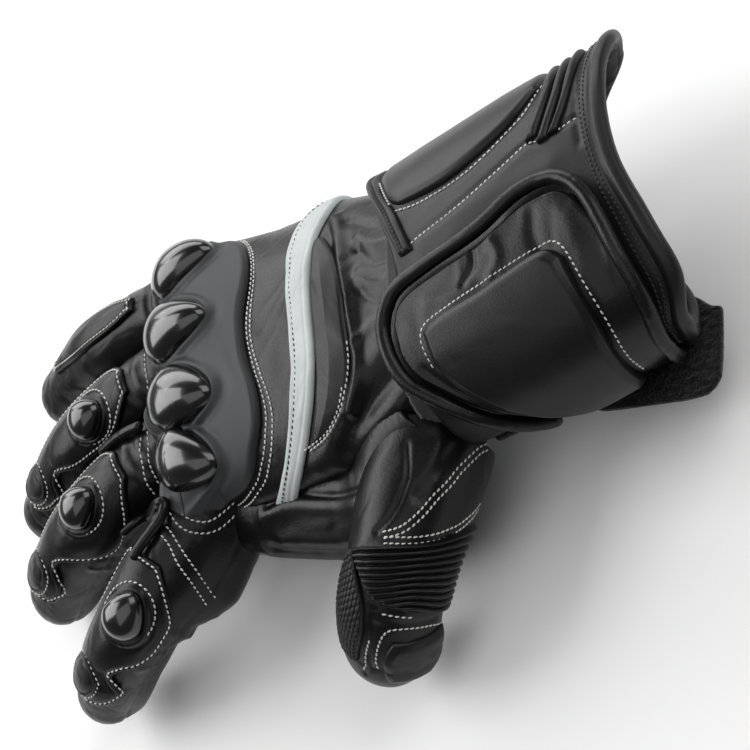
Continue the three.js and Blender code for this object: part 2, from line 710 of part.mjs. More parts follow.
// Small adjusting strap round the wrist end, under the flap and over the palm
const strapColumns = [
  { angle: 205, near: 2.45, far: 2.98 },
  { angle: 225, near: 2.4, far: 2.95 },
  { angle: 262, near: 2.4, far: 2.95 },
  { angle: 300, near: 2.45, far: 3.0 },
  { angle: 322, near: 2.6, far: 2.95 },
];
add('wrist_strap', slab(cuffSection, alongGrid(strapColumns, 10, 1), bed, bed + 1.8), 'leather');

// Hook-and-loop tab that stands out behind the cuff, as a plate bent along its length
const tabOutline = [
  { x: -50, y: -20 }, { x: -56, y: -30 }, { x: -56, y: -40 }, { x: -50, y: -46 }, { x: -22, y: -58 },
  { x: -12, y: -61 }, { x: -6, y: -57 }, { x: -2, y: -34 }, { x: -6, y: -30 }, { x: -16, y: -20 },
];
const tabThick = 2.4;
const tabHeight = (y) => (y > -33 ? -28.9 + (-20 - y) * 0.22 : -26.0 + (-33 - y) * 0.17);

function tabGeometry() {
  const middle = { x: -29, y: -40 };
  const ring = (reach, drop) => tabOutline.map(({ x, y }) => {
    const px = middle.x + (x - middle.x) * reach;
    const py = middle.y + (y - middle.y) * reach;
    return new THREE.Vector3(px, py, tabHeight(py) - drop);
  });
  const pole = (drop) => [new THREE.Vector3(middle.x, middle.y, tabHeight(middle.y) - drop)];
  return ringSolid([pole(0), ring(0.55, 0), ring(1, 0), ring(1, tabThick), ring(0.55, tabThick), pole(tabThick)]);
}
add('closure_strap', tabGeometry(), 'hook');

// Thumb: ribbed stretch panel, tip patch and grip panel

const ribPanelColumns = [
  { angle: 100, near: 0.43, far: 0.58 },
  { angle: 118, near: 0.41, far: 0.61 },
  { angle: 150, near: 0.37, far: 0.66 },
  { angle: 185, near: 0.32, far: 0.69 },
  { angle: 210, near: 0.3, far: 0.7 },
  { angle: 232, near: 0.3, far: 0.7 },
];
const thumbRibs = 6;
const ribWave = (u) => bed + 0.7 + 0.9 * Math.sin(Math.PI * u * thumbRibs) ** 2;
const ribPanelGrid = alongGrid(ribPanelColumns, 6, 2 * thumbRibs);
add('thumb_rib_panel', slab(chartOf('thumb'), ribPanelGrid, bed, ribWave), 'stretch');

const thumbPatchRows = [
  { t: 0.76, from: 140, to: 214 },
  { t: 0.88, from: 138, to: 216 },
  { t: 1.0, from: 140, to: 214 },
  { t: 1.15, from: 146, to: 208 },
];
const thumbPatchGrid = acrossGrid(thumbPatchRows, 4, 5);
add('thumb_tip_patch', slab(chartOf('thumb'), thumbPatchGrid, bed, crown(bed + 0.8, 0.6)), 'padded');

const gripRows = [
  { t: 0.5, from: 72, to: 90 },
  { t: 0.62, from: 64, to: 104 },
  { t: 0.78, from: 70, to: 116 },
  { t: 0.9, from: 84, to: 112 },
];
add('thumb_grip_panel', slab(chartOf('thumb'), acrossGrid(gripRows, 4, 4), bed, shieldTop), 'stretch');

// Plain reinforcing patch on the palm
const palmRows = [
  { t: 1.9, from: 252, to: 290 },
  { t: 2.5, from: 246, to: 302 },
  { t: 3.2, from: 244, to: 306 },
  { t: 3.8, from: 250, to: 302 },
];
add('palm_patch', slab(handSection, acrossGrid(palmRows, 4, 5), bed, shieldTop), 'leather');

export default glove;
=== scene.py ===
import bpy
import json
import numpy as np
from mathutils import Matrix, Vector

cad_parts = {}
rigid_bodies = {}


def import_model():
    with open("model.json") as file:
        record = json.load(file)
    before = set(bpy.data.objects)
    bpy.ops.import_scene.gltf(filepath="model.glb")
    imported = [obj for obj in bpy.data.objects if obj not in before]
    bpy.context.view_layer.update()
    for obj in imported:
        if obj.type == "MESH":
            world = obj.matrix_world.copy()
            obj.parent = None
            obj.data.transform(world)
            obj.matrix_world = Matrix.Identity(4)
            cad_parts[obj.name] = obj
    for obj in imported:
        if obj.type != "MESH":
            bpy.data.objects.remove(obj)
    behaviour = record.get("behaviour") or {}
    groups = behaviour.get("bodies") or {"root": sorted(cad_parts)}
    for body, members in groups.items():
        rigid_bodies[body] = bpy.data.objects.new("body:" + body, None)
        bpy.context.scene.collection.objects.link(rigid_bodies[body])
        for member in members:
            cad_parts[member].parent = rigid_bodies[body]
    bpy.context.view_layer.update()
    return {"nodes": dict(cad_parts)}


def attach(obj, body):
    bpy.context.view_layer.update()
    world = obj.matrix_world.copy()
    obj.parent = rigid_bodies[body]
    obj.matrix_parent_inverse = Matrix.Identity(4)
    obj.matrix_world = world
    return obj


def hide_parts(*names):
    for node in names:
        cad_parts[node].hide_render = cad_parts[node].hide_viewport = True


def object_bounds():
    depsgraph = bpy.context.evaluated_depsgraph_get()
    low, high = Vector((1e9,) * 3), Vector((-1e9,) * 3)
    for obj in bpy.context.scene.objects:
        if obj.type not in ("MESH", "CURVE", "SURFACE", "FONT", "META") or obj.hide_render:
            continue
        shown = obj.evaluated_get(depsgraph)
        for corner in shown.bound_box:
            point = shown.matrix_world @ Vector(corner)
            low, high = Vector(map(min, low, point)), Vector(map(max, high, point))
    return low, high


for leftover in list(bpy.data.objects):
    bpy.data.objects.remove(leftover)
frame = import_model()
mm = 0.001  # every length below is in millimetres, and a mesh is put into metres when it is made
print("frame loaded:", len(frame["nodes"]), "CAD nodes")


# Curves and the skins that all pieces lie on

def unit(v):
    return v / np.maximum(np.linalg.norm(v, axis=-1, keepdims=True), 1e-9)


# Catmull-Rom curve through the rows of a table: each value is a cubic of the two rows on both sides
def smoothRows(table, t):
    table, t = np.asarray(table, float), np.asarray(t, float)
    last = len(table) - 1
    i = np.clip(np.floor(t).astype(int), 0, last - 1)
    f = (t - i)[..., None]
    b, c = table[i], table[i + 1]
    a = np.where(i[..., None] > 0, table[np.maximum(i - 1, 0)], 2 * b - c)
    d = np.where(i[..., None] < last - 1, table[np.minimum(i + 2, last)], 2 * c - b)
    return b + 0.5 * f * (c - a + f * (2 * a - 5 * b + 4 * c - d + f * (3 * (b - c) + d - a)))


# The same curve, closed, through values that stand an equal angle apart
def smoothRound(values, angle):
    values = np.asarray(values, float)
    count = len(values)
    turn = np.mod(angle, 360) / 360 * count
    i = np.floor(turn).astype(int)
    f = turn - i
    a, b, c, d = (values[(i + k) % count] for k in (-1, 0, 1, 2))
    return b + 0.5 * f * (c - a + f * (2 * a - 5 * b + 4 * c - d + f * (3 * (b - c) + d - a)))


# Directions at a spine: along it, to the side, and towards the back of the hand
def spineAxes(spine, t):
    step = 1e-3
    at = np.clip(t, step, len(spine) - 1 - step)
    along = unit(smoothRows(spine, at + step) - smoothRows(spine, at - step))
    side = unit(np.cross(np.array([0.0, 0.0, 1.0]), -along))
    return along, side, np.cross(-along, side)


def power(value, exponent):
    return np.sign(value) * np.abs(value) ** exponent


# From 0 to 1 by x^2 (3 - 2 x)
def smoothStep(x):
    x = np.clip(x, 0, 1)
    return x * x * (3 - 2 * x)


# Bell curve: exp(-((x - centre) / width)^2)
def bell(x, centre, width):
    return np.exp(-((x - centre) / width) ** 2)


def ringAngles(count, full=360):
    return np.linspace(0, full, count, endpoint=False)


cuffForm = {
    "stations": [  # x, y, z, half width, up, down
        (0, 1, 0, 51, 29, 30), (-20, 1, 0, 49.5, 29.5, 29), (-50, 1.5, 0, 49.5, 29, 28),
        (-80, 3.5, 0, 49.2, 27, 27), (-104, 7, 0, 49.2, 25, 26)],
    "squareness": 2.3,
    "rimReach": (2, 9.5, 8, 6.5, 10.5, 10.5, 1, -6, -10, -19, -24, -20),  # every 30 degrees
    "rimFade": 3.5,
    "ends": (3.85, 3.88, 3.42, 3.05, 3.35, 3.1, 3.1, 3.2, 3.3, 3.3, 3.4, 3.6),  # stations at the wrist
}
handForm = {
    "stations": [
        (-72, 4, -2, 40, 22, 20), (-98, 8, -2, 41.5, 20.5, 18.5), (-120, 14, -3, 47, 20, 22),
        (-150, 20, -4, 47.5, 19, 21), (-176, 30, -5, 46.5, 18, 18), (-194, 36, -8, 45, 15, 14),
        (-203, 38, -12, 42, 9, 9), (-206, 38, -14, 38, 3, 3)],
    "squareness": 2.2,
}
sleeveForm = {  # radius at root and tip, stretch up and down, and the spine
    "web": (18, 12.5, 0.92, 1.1, [(-99, -28, -8), (-128, -41, -14.5), (-162, -29.5, -17),
                                  (-196, -12, -17.5)]),
    "thumb": (18.5, 15.2, 0.92, 1.1, [(-101, -34, -10), (-119, -60, -6), (-133, -76, -10),
                                      (-145, -82.5, -20.5)]),
    "index": (15, 12.5, 0.92, 1.35, [(-178, 4, -6), (-226, -34, -5), (-252, -42, -15), (-268, -43.5, -25)]),
    "middle": (14, 12, 0.92, 1.35, [(-180, 22, -4), (-240, 9, -6), (-268, 6, -16), (-286, 4.5, -27)]),
    "ring": (13.5, 11.5, 0.92, 1.35, [(-178, 46, -4), (-238, 41, -8), (-267, 39, -18), (-285, 37.5, -27)]),
    "little": (12.5, 11.5, 0.92, 1.35, [(-172, 68, -10), (-226, 74, -12), (-250, 77, -20), (-270, 79, -28)]),
}
rootTaper, rootLength = 0.14, 0.25


# Spine point + side * |cos|^(2/n) * half width + back * |sin|^(2/n) * height, n being the squareness
def sectionSkin(form, t, angle, lift):
    rows = smoothRows(form["stations"], t)
    _, side, back = spineAxes(np.array(form["stations"], float)[:, :3], t)
    turn, n = np.radians(angle), form["squareness"]
    high = np.where(np.sin(turn) > 0, rows[..., 4], rows[..., 5])
    across = power(np.cos(turn), 2 / n) * (rows[..., 3] + lift)
    above = power(np.sin(turn), 2 / n) * (high + lift)
    return rows[..., :3] + side * across[..., None] + back * above[..., None]


def cuffSkin(t, angle, lift=0.0):
    t, angle = np.broadcast_arrays(np.asarray(t, float), np.asarray(angle, float))
    points = sectionSkin(cuffForm, t, angle, lift)
    fade = np.maximum(1 - t / cuffForm["rimFade"], 0) ** 2
    points[..., 0] += fade * smoothRound(cuffForm["rimReach"], angle)
    return points


def handSkin(t, angle, lift=0.0):
    t, angle = np.broadcast_arrays(np.asarray(t, float), np.asarray(angle, float))
    return sectionSkin(handForm, t, angle, lift)


# A tube round the spine for s from 0 to 1, and a quarter circle over the tip for s from 1 to 2
def sleeveSkin(name):
    root, tip, up, down, spine = sleeveForm[name]

    def skin(s, angle, lift=0.0):
        s, angle = np.broadcast_arrays(np.asarray(s, float), np.asarray(angle, float))
        u = np.clip(s, 0, 1)
        t = u * (len(spine) - 1)
        along, side, back = spineAxes(spine, t)
        fromRoot = np.minimum(u / rootLength, 1)
        radius = (root + (tip - root) * u) * (1 - rootTaper * (1 - fromRoot) ** 2)
        dive, turn = np.clip(s - 1, 0, 1) * np.pi / 2, np.radians(angle)
        rounded = (radius + lift) * np.cos(dive)
        flat = np.where(np.sin(turn) > 0, up, 1 + (down - 1) * fromRoot)
        return (smoothRows(spine, t) + along * ((radius + lift) * np.sin(dive))[..., None]
                + side * (rounded * np.cos(turn))[..., None]
                + back * (rounded * np.sin(turn) * flat)[..., None])
    return skin


skins = {"cuff": cuffSkin, "hand": handSkin, **{name: sleeveSkin(name) for name in sleeveForm}}


stepT, stepAngle = 0.01, 1.0  # half the steps over which a slope is measured


# Small steps on a skin, along it and round it
def skinSteps(skin, t, angle):
    return (skin(t + stepT, angle) - skin(t - stepT, angle),
            skin(t, angle + stepAngle) - skin(t, angle - stepAngle))


# Unit vector out of a skin: the cross product of its slopes along and round
def skinNormal(skin, t, angle):
    return unit(np.cross(*skinSteps(skin, t, angle)))


# Millimetres to one unit of t, and to one degree
def skinScale(skin, t, angle):
    along, around = skinSteps(skin, t, angle)
    return np.linalg.norm(along, axis=-1) / (2 * stepT), np.linalg.norm(around, axis=-1) / (2 * stepAngle)


def onSkin(skin, t, angle, lift):
    lift = np.broadcast_to(lift, np.shape(t))[..., None]
    return skin(t, angle) + skinNormal(skin, t, angle) * lift


# A smooth curve through places (station, angle), cut into equal steps of about the given length
def route(skin, places, spacing=1.0, closed=False):
    rows = np.array(places, float)
    count = len(rows)
    if closed:
        rows = np.vstack([rows[-2:], rows, rows[:3]])
        k = np.linspace(2, 2 + count, 40 * count)
    else:
        k = np.linspace(0, count - 1, 40 * count)
    fine = smoothRows(rows, k)
    points = skin(fine[:, 0], fine[:, 1])
    run = np.concatenate([[0], np.cumsum(np.linalg.norm(np.diff(points, axis=0), axis=1))])
    steps = max(2, int(round(run[-1] / spacing)))
    at = np.linspace(0, run[-1], steps + (0 if closed else 1), endpoint=not closed)
    return np.interp(at, run, fine[:, 0]), np.interp(at, run, fine[:, 1])


# Shortest distance of each point to a cloud of others, from |p|^2 + |q|^2 - 2 p.q
def distanceTo(points, cloud):
    flat = points.reshape(-1, 3)
    best = np.empty(len(flat))
    square = (cloud ** 2).sum(1)
    for start in range(0, len(flat), 8000):
        part = flat[start:start + 8000]
        gap = (part ** 2).sum(1)[:, None] + square[None] - 2 * part @ cloud.T
        best[start:start + 8000] = gap.min(1)
    return np.sqrt(np.maximum(best, 0)).reshape(points.shape[:-1])


# Folds and furrows: each line (places, width, height) adds height * exp(-(distance / width)^2)
def lineRelief(skin, points, lines):
    total = np.zeros(points.shape[:-1])
    for places, width, height in lines:
        t, angle = route(skin, places, min(width, 1.5))
        path = skin(t, angle)
        near = np.all((points > path.min(0) - 3 * width) & (points < path.max(0) + 3 * width), axis=-1)
        if near.any():
            total[near] += height * bell(distanceTo(points[near], path), 0, width)
    return total


# Smooth noise from -1 to 1: sine waves in seeded directions, each bent by the one before
def softNoise(points, size, seed):
    chance = np.random.default_rng(seed)
    total, bend = np.zeros(points.shape[:-1]), np.zeros(points.shape[:-1])
    for k in range(5):
        way = unit(chance.normal(size=3)) * 2 * np.pi / size * (0.7 + 0.25 * k)
        wave = np.sin(points @ way + chance.uniform(0, 6.3) + 1.3 * bend)
        total, bend = total + wave, wave
    return total / 3.2


# Sharp valleys where the noise passes zero, from 0 to 1
def creaseNoise(points, size, seed):
    return bell(softNoise(points, size, seed), 0, 0.16)


# Uneven leather: waves and creases are each given as (height, size, seed)
def unevenness(points, waves, creases=None):
    total = waves[0] * softNoise(points, *waves[1:])
    return total if creases is None else total - creases[0] * creaseNoise(points, *creases[1:])


# Meshes

def quadGrid(rows, columns, wrap=False, start=0):
    i, j = np.meshgrid(np.arange(rows - 1), np.arange(columns if wrap else columns - 1), indexing="ij")
    k = (j + 1) % columns
    corners = [i * columns + j, (i + 1) * columns + j, (i + 1) * columns + k, i * columns + k]
    return start + np.stack(corners, axis=-1).reshape(-1, 4)


pieceList = []


def makePiece(name, points, faces, material, nodes=()):
    mesh = bpy.data.meshes.new(name)
    corners = (np.asarray(points).reshape(-1, 3) * mm).tolist()
    mesh.from_pydata(corners, [], [[int(k) for k in face] for face in faces])
    mesh.validate()
    mesh.polygons.foreach_set("use_smooth", np.full(len(mesh.polygons), True))
    mesh.materials.append(material)
    piece = bpy.data.objects.new(name, mesh)
    bpy.context.scene.collection.objects.link(piece)
    if nodes:
        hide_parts(*nodes)
    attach(piece, "root")
    pieceList.append(piece)
    return piece


# Faces of rings that close at two poles listed after them: the last ring's pole, then the first ring's
def closedRings(rows, sides):
    ring = np.arange(sides)
    after, last, pole = (ring + 1) % sides, (rows - 1) * sides, rows * sides
    return [*quadGrid(rows, sides, True), *np.stack([last + ring, np.full(sides, pole), last + after], 1),
            *np.stack([ring, after, np.full(sides, pole + 1)], 1)]


# A tube wall between an outer and a coarser inner grid of rows, wrapped round. Poles close the far ends.
def wallOf(outer, inner, poles=None, skipped=4):
    inner = np.concatenate([inner[:-1:skipped], inner[-1:]])
    m, n = outer.shape[:2]
    p = len(inner)
    base = m * n
    points = np.vstack([outer.reshape(-1, 3), inner.reshape(-1, 3)])
    faces = [*quadGrid(m, n, True), *(quadGrid(p, n, True, base)[:, ::-1])]
    ring = np.arange(n)
    after = (ring + 1) % n
    faces += [*np.stack([ring, after, base + after, base + ring], 1)]
    last, lastIn, pole = (m - 1) * n, base + (p - 1) * n, base + p * n
    if poles is None:
        faces += [*np.stack([last + ring, lastIn + ring, lastIn + after, last + after], 1)]
        return points, faces
    points = np.vstack([points, poles])
    faces += [*np.stack([last + ring, np.full(n, pole), last + after], 1)]
    faces += [*np.stack([lastIn + ring, lastIn + after, np.full(n, pole + 1)], 1)]
    return points, faces


# A closed slab from a grid of stations and angles: its top stands at high, its foot at low.
# The foot keeps every row but only each eighth column, and its end walls are faces of many corners.
def slabOf(skin, t, angle, low, high, skipped=8):
    m, n = t.shape
    kept = np.append(np.arange(0, n - 1, skipped), n - 1)
    c, base = len(kept), m * n
    top = onSkin(skin, t, angle, high)
    foot = onSkin(skin, t[:, kept], angle[:, kept], low)
    near, nearFoot = np.arange(m - 1) * n, base + np.arange(m - 1) * c
    far, farFoot = near + n - 1, nearFoot + c - 1
    faces = [*quadGrid(m, n), *(quadGrid(m, c, False, base)[:, ::-1]),
             *np.stack([near, nearFoot, nearFoot + c, near + n], 1),
             *np.stack([far + n, farFoot + c, farFoot, far], 1)]
    last, lastFoot = (m - 1) * n, base + (m - 1) * c
    for j, (first, second) in enumerate(zip(kept[:-1], kept[1:])):
        faces.append([last + first, lastFoot + j, lastFoot + j + 1, *range(last + second, last + first, -1)])
        faces.append([second, base + j + 1, base + j, *range(first, second)])
    return np.vstack([top.reshape(-1, 3), foot.reshape(-1, 3)]), faces


# Rows (t, from, to) or columns (angle, near, far) of a table, spread over a fine grid
def spreadRows(table, m, n):
    rows = smoothRows(table, np.linspace(0, len(table) - 1, m))
    v = np.linspace(0, 1, n)[None]
    return np.repeat(rows[:, :1], n, 1), rows[:, 1:2] + (rows[:, 2:3] - rows[:, 1:2]) * v


def spreadColumns(table, m, n):
    rows = smoothRows(table, np.linspace(0, len(table) - 1, n))
    u = np.linspace(0, 1, m)[:, None]
    return rows[None, :, 1] + (rows[None, :, 2] - rows[None, :, 1]) * u, np.repeat(rows[None, :, 0], m, 0)


def borderOf(grid):
    return np.concatenate([grid[:, 0], grid[-1], grid[::-1, -1], grid[0, ::-1]])


# Rounded edge: rises as a quarter circle over the edge's width and stays full inside it
def roundEdge(distance, edge):
    return np.sqrt(1 - (1 - np.clip(distance / edge, 0, 1)) ** 2)


def panelGrid(look):
    if "rows" in look:
        return spreadRows(look["rows"], *look["grid"])
    return spreadColumns(look["columns"], *look["grid"])


# Relief from a piece's settings: crown (height, width, fullness), bevel (height, width), furrow of a seam
# (depth, distance from the border, width), and uneven leather
def ownRelief(look):
    def relief(points, distance):
        rise = np.zeros(distance.shape)
        if "waves" in look:
            rise = unevenness(points, look["waves"], look.get("creases"))
        if "crown" in look:
            height, width, fullness = look["crown"]
            rise = rise + height * np.clip(distance / width, 0, 1) ** fullness
        if "bevel" in look:
            height, width = look["bevel"]
            rise = rise + height * smoothStep(distance / width)
        if "furrow" in look:
            depth, at, width = look["furrow"]
            rise = rise - depth * bell(distance, at, width)
        return rise
    return relief


# A sewn panel: full inside its rounded border, with its relief on top, and lying on what is under it
def panel(name, look, material, nodes=(), relief=None, under=None):
    skin = skins[look["skin"]]
    t, angle = panelGrid(look)
    points = skin(t, angle)
    distance = distanceTo(points, borderOf(points))
    relief = relief or ownRelief(look)
    rise = look["thick"] * roundEdge(distance, look["edge"])
    rise = rise + relief(points, distance) * np.clip(distance / look["edge"], 0, 1)
    low = look["low"]
    top = low + (0 if under is None else under(points)) + rise
    body, faces = slabOf(skin, t, angle, low - panelFoot, np.maximum(top, low - panelFoot / 2))
    return makePiece(name, body, faces, material, nodes)


def topOf(look):
    return look["low"] + look["thick"]


panelFoot = 0.6  # how far the foot of a panel reaches into the leather below it
threadForm = {
    "pitch": 1.9, "length": 1.5, "radius": 0.27, "flat": 1.15, "sides": 6, "dive": 0.13, "slant": 0.16,
    "rings": (-1, -0.62, 0, 0.62, 1), "girth": (0, 0.85, 1, 0.85, 0),
}
seamStitches = []


# One stitch is a small capsule that dives into the leather at both ends
def sew(skin, places, lift, shift=0.0, closed=False, relief=None, thread="white"):
    t, angle = route(skin, places, threadForm["pitch"], closed)
    if not closed:
        t, angle = (t[1:] + t[:-1]) / 2, (angle[1:] + angle[:-1]) / 2
    points = skin(t, angle)
    out = skinNormal(skin, t, angle)
    loopStep = np.roll(points, -1, 0) - np.roll(points, 1, 0)
    ahead = unit(loopStep if closed else np.gradient(points, axis=0))
    side = unit(np.cross(out, ahead))
    points = points + side * shift
    high = np.broadcast_to(lift if relief is None else lift + relief(points), len(points))
    seamStitches.append((points + out * np.asarray(high)[:, None], ahead, side, out, thread))


def makeStitches(name, thread, material):
    u, girth = (np.array(threadForm[key]) for key in ("rings", "girth"))
    sides, radius = threadForm["sides"], threadForm["radius"]
    turn = ringAngles(sides, 2 * np.pi)
    x = np.repeat(u[:, None], sides, 1) * threadForm["length"] / 2
    y = girth[:, None] * np.cos(turn)[None] * radius * threadForm["flat"]
    z = girth[:, None] * np.sin(turn)[None] * radius - (u ** 2)[:, None] * threadForm["dive"]
    y = y + x * threadForm["slant"]
    shape = np.stack([x, y, z], -1).reshape(-1, 3)
    faces = quadGrid(len(u), sides, True)
    chosen = [s for s in seamStitches if s[4] == thread]
    centre, ahead, side, out = (np.concatenate([s[k] for s in chosen]) for k in range(4))
    axes = np.stack([ahead, side, out], 1)
    points = (shape @ axes) + centre[:, None]
    every = (faces[None] + np.arange(len(centre))[:, None, None] * len(shape)).reshape(-1, 4)
    piece = makePiece(name, points, every[:, ::-1], material)
    print(name, len(centre), "stitches")
    return piece


# Materials

# One output of a node tree. Arithmetic on it adds Math nodes, and node() adds any other node.
class Shade:
    def __init__(self, tree, socket):
        self.tree, self.socket = tree, socket

    def node(self, kind, settings=None, inputs=None, output=0):
        made = self.tree.nodes.new("ShaderNode" + kind)
        for key, value in (settings or {}).items():
            setattr(made, key, value)
        for key, value in (inputs or {}).items():
            if isinstance(value, Shade):
                self.tree.links.new(value.socket, made.inputs[key])
            else:
                made.inputs[key].default_value = value
        return Shade(self.tree, made.outputs[output])

    def math(self, operation, a, b=0.0):
        return self.node("Math", {"operation": operation}, {0: a, 1: b})

    def __add__(self, other):
        return self.math("ADD", self, other)

    def __sub__(self, other):
        return self.math("SUBTRACT", self, other)

    def __rsub__(self, other):
        return self.math("SUBTRACT", other, self)

    def __mul__(self, other):
        return self.math("MULTIPLY", self, other)

    __radd__, __rmul__ = __add__, __mul__

    def clamp(self):
        return self.node("Clamp", None, {"Value": self})

    def noise(self, scale, detail=3.0, roughness=0.55):
        inputs = {"Vector": self, "Scale": scale, "Detail": detail, "Roughness": roughness}
        return self.node("TexNoise", None, inputs)

    def cells(self, scale, feature="SMOOTH_F1", randomness=1.0):
        return self.node("TexVoronoi", {"feature": feature},
                         {"Vector": self, "Scale": scale, "Randomness": randomness})

    def spread(self, low, high):
        return self.node("MapRange", None, {"Value": self, "From Min": low, "From Max": high})


def mixColors(mask, first, second):
    rgb = [c if isinstance(c, Shade) else (*c, 1.0) for c in (first, second)]
    made = mask.tree.nodes.new("ShaderNodeMix")
    made.data_type = "RGBA"
    mask.tree.links.new(mask.socket, made.inputs["Factor"])
    for key, value in zip(("A", "B"), rgb):
        target = next(s for s in made.inputs if s.name == key and s.type == "RGBA")
        if isinstance(value, Shade):
            mask.tree.links.new(value.socket, target)
        else:
            target.default_value = value
    return Shade(mask.tree, next(s for s in made.outputs if s.type == "RGBA"))


def newMaterial(name, constants):
    material = bpy.data.materials.new(name)
    material.use_nodes = True
    surface = material.node_tree.nodes["Principled BSDF"]
    for key, value in constants.items():
        surface.inputs[key].default_value = value
    place = material.node_tree.nodes.new("ShaderNodeTexCoord")
    return material, surface, Shade(material.node_tree, place.outputs["Object"])


def feed(surface, shade, key):
    shade.tree.links.new(shade.socket, surface.inputs[key])


def bumps(surface, layers):
    normal = None
    for height, strength, distance in layers:
        inputs = {"Height": height, "Strength": strength, "Distance": distance * mm}
        if normal is not None:
            inputs["Normal"] = normal
        normal = height.node("Bump", None, inputs)
    feed(surface, normal, "Normal")


pointinessOutput = 7  # of the Geometry node: above 0.5 on ridges


def shaded(tone, factor, added=0.0):
    return tuple(c * factor + added for c in tone)


# Leather: fine cells of grain with creased borders, broad tonal drift, and paler worn high spots
def leatherMaterial(name, tone, rough, grain, depth):
    material, surface, place = newMaterial(name, {"Specular IOR Level": 0.25})
    pores = place.cells(grain)
    crazing = place.cells(grain * 0.37, "DISTANCE_TO_EDGE").spread(0.0, 0.12).clamp()
    drift = place.noise(30.0, 3.0)
    fine = place.noise(900.0, 3.0, 0.6)
    edge = place.node("NewGeometry", output=pointinessOutput).spread(0.5, 0.62).clamp()
    dark, pale = shaded(tone, 0.78), shaded(tone, 1.5, 0.003)
    color = mixColors(drift.spread(0.3, 0.7).clamp(), dark, tone)
    color = mixColors((edge * 0.4 * fine.spread(0.35, 0.65).clamp()).clamp(), color, pale)
    feed(surface, color, "Base Color")
    feed(surface, (rough + 0.1 * (drift - 0.5) + 0.16 * (pores - 0.35) - 0.05 * edge).clamp(), "Roughness")
    bumps(surface, [(drift, 0.15, 0.4), (crazing, 0.22, depth * 0.6), (pores, 0.5, depth), (fine, 0.2, 0.03)])
    return material


def guardMaterial():
    material, surface, place = newMaterial("satin moulding", {"Specular IOR Level": 0.36})
    stipple = place.cells(1500.0)
    drift = place.noise(30.0, 3.0)
    scuff = place.noise(240.0, 5.0, 0.7).spread(0.56, 0.72).clamp()
    color = mixColors(drift.spread(0.3, 0.7).clamp(), (0.0215, 0.0225, 0.0245), (0.027, 0.028, 0.030))
    feed(surface, mixColors(scuff * 0.15, color, (0.05, 0.05, 0.053)), "Base Color")
    feed(surface, (0.5 + 0.08 * drift + 0.06 * scuff).clamp(), "Roughness")
    bumps(surface, [(stipple, 0.3, 0.03), (drift, 0.08, 0.3)])
    return material


def glossMaterial():
    constants = {"Specular IOR Level": 0.6, "Coat Roughness": 0.06}
    material, surface, place = newMaterial("polished shell", constants)
    smear = place.noise(160.0, 4.0, 0.65).spread(0.45, 0.75).clamp()
    feed(surface, mixColors(smear * 0.3, (0.003, 0.003, 0.0035), (0.006, 0.006, 0.007)), "Base Color")
    feed(surface, 0.2 + 0.06 * smear, "Roughness")
    feed(surface, 0.45 - 0.2 * smear, "Coat Weight")
    bumps(surface, [(place.noise(40.0, 2.0), 0.03, 0.3)])
    return material


# Reflective tape: close rows of glass beads over pale grey cloth
def reflectiveMaterial():
    material, surface, place = newMaterial("reflective cloth", {"Specular IOR Level": 0.4})
    beads = place.cells(2300.0, "F1", 0.35)
    drift = place.noise(60.0, 4.0)
    soil = place.noise(210.0, 5.0, 0.7).spread(0.52, 0.75).clamp()
    color = mixColors(drift.spread(0.3, 0.7).clamp(), (0.41, 0.445, 0.445), (0.48, 0.51, 0.51))
    feed(surface, mixColors(soil * 0.35, color, (0.32, 0.35, 0.35)), "Base Color")
    feed(surface, 0.45 + 0.2 * beads + 0.1 * soil, "Roughness")
    bumps(surface, [(beads, 0.2, 0.04), (drift, 0.15, 0.3)])
    return material


# Stretch cloth: a fine rib of two crossed sets of waves
def stretchMaterial(name, tone, scale):
    material, surface, place = newMaterial(name, {"Sheen Weight": 0.25, "Specular IOR Level": 0.3})
    inputs = {"Vector": place, "Scale": scale, "Distortion": 0.6}
    waves = [place.node("TexWave", {"wave_type": "BANDS", "bands_direction": way}, inputs)
             for way in ("X", "Y", "DIAGONAL")]
    weave = waves[0] * 0.4 + waves[1] * 0.4 + waves[2] * 0.2
    drift = place.noise(70.0, 4.0)
    # The colour is darker where the rib's bump is low, painted shade in its valleys, and drifts in tone at
    # random
    feed(surface, mixColors((0.5 * weave + 0.5 * drift).clamp(), shaded(tone, 0.55), tone), "Base Color")
    feed(surface, 0.62 + 0.2 * drift, "Roughness")
    bumps(surface, [(weave, 0.5, 0.08), (drift, 0.3, 0.2)])
    return material


def hookMaterial():
    material, surface, place = newMaterial("hook tape", {"Sheen Weight": 0.15, "Specular IOR Level": 0.2})
    tufts = place.cells(1250.0, "F1")
    mat = place.noise(520.0, 5.0, 0.75)
    # The colour follows the mat's bump: darker in its hollows, which is painted shade
    color = mixColors(mat.spread(0.35, 0.7).clamp(), (0.0015, 0.0015, 0.0016), (0.012, 0.012, 0.013))
    feed(surface, color, "Base Color")
    feed(surface, (0.75 + 0.2 * tufts).clamp(), "Roughness")
    bumps(surface, [(mat, 0.8, 0.5), (tufts, 0.9, 0.3)])
    return material


def threadMaterial(name, tone):
    material, surface, place = newMaterial(name, {"Sheen Weight": 0.2, "Specular IOR Level": 0.35})
    fibre = place.noise(3200.0, 2.0)
    soil = place.noise(85.0, 4.0)
    feed(surface, mixColors(soil.spread(0.32, 0.68).clamp(), shaded(tone, 0.62), tone), "Base Color")
    feed(surface, 0.5 + 0.3 * fibre, "Roughness")
    bumps(surface, [(fibre, 0.5, 0.06)])
    return material


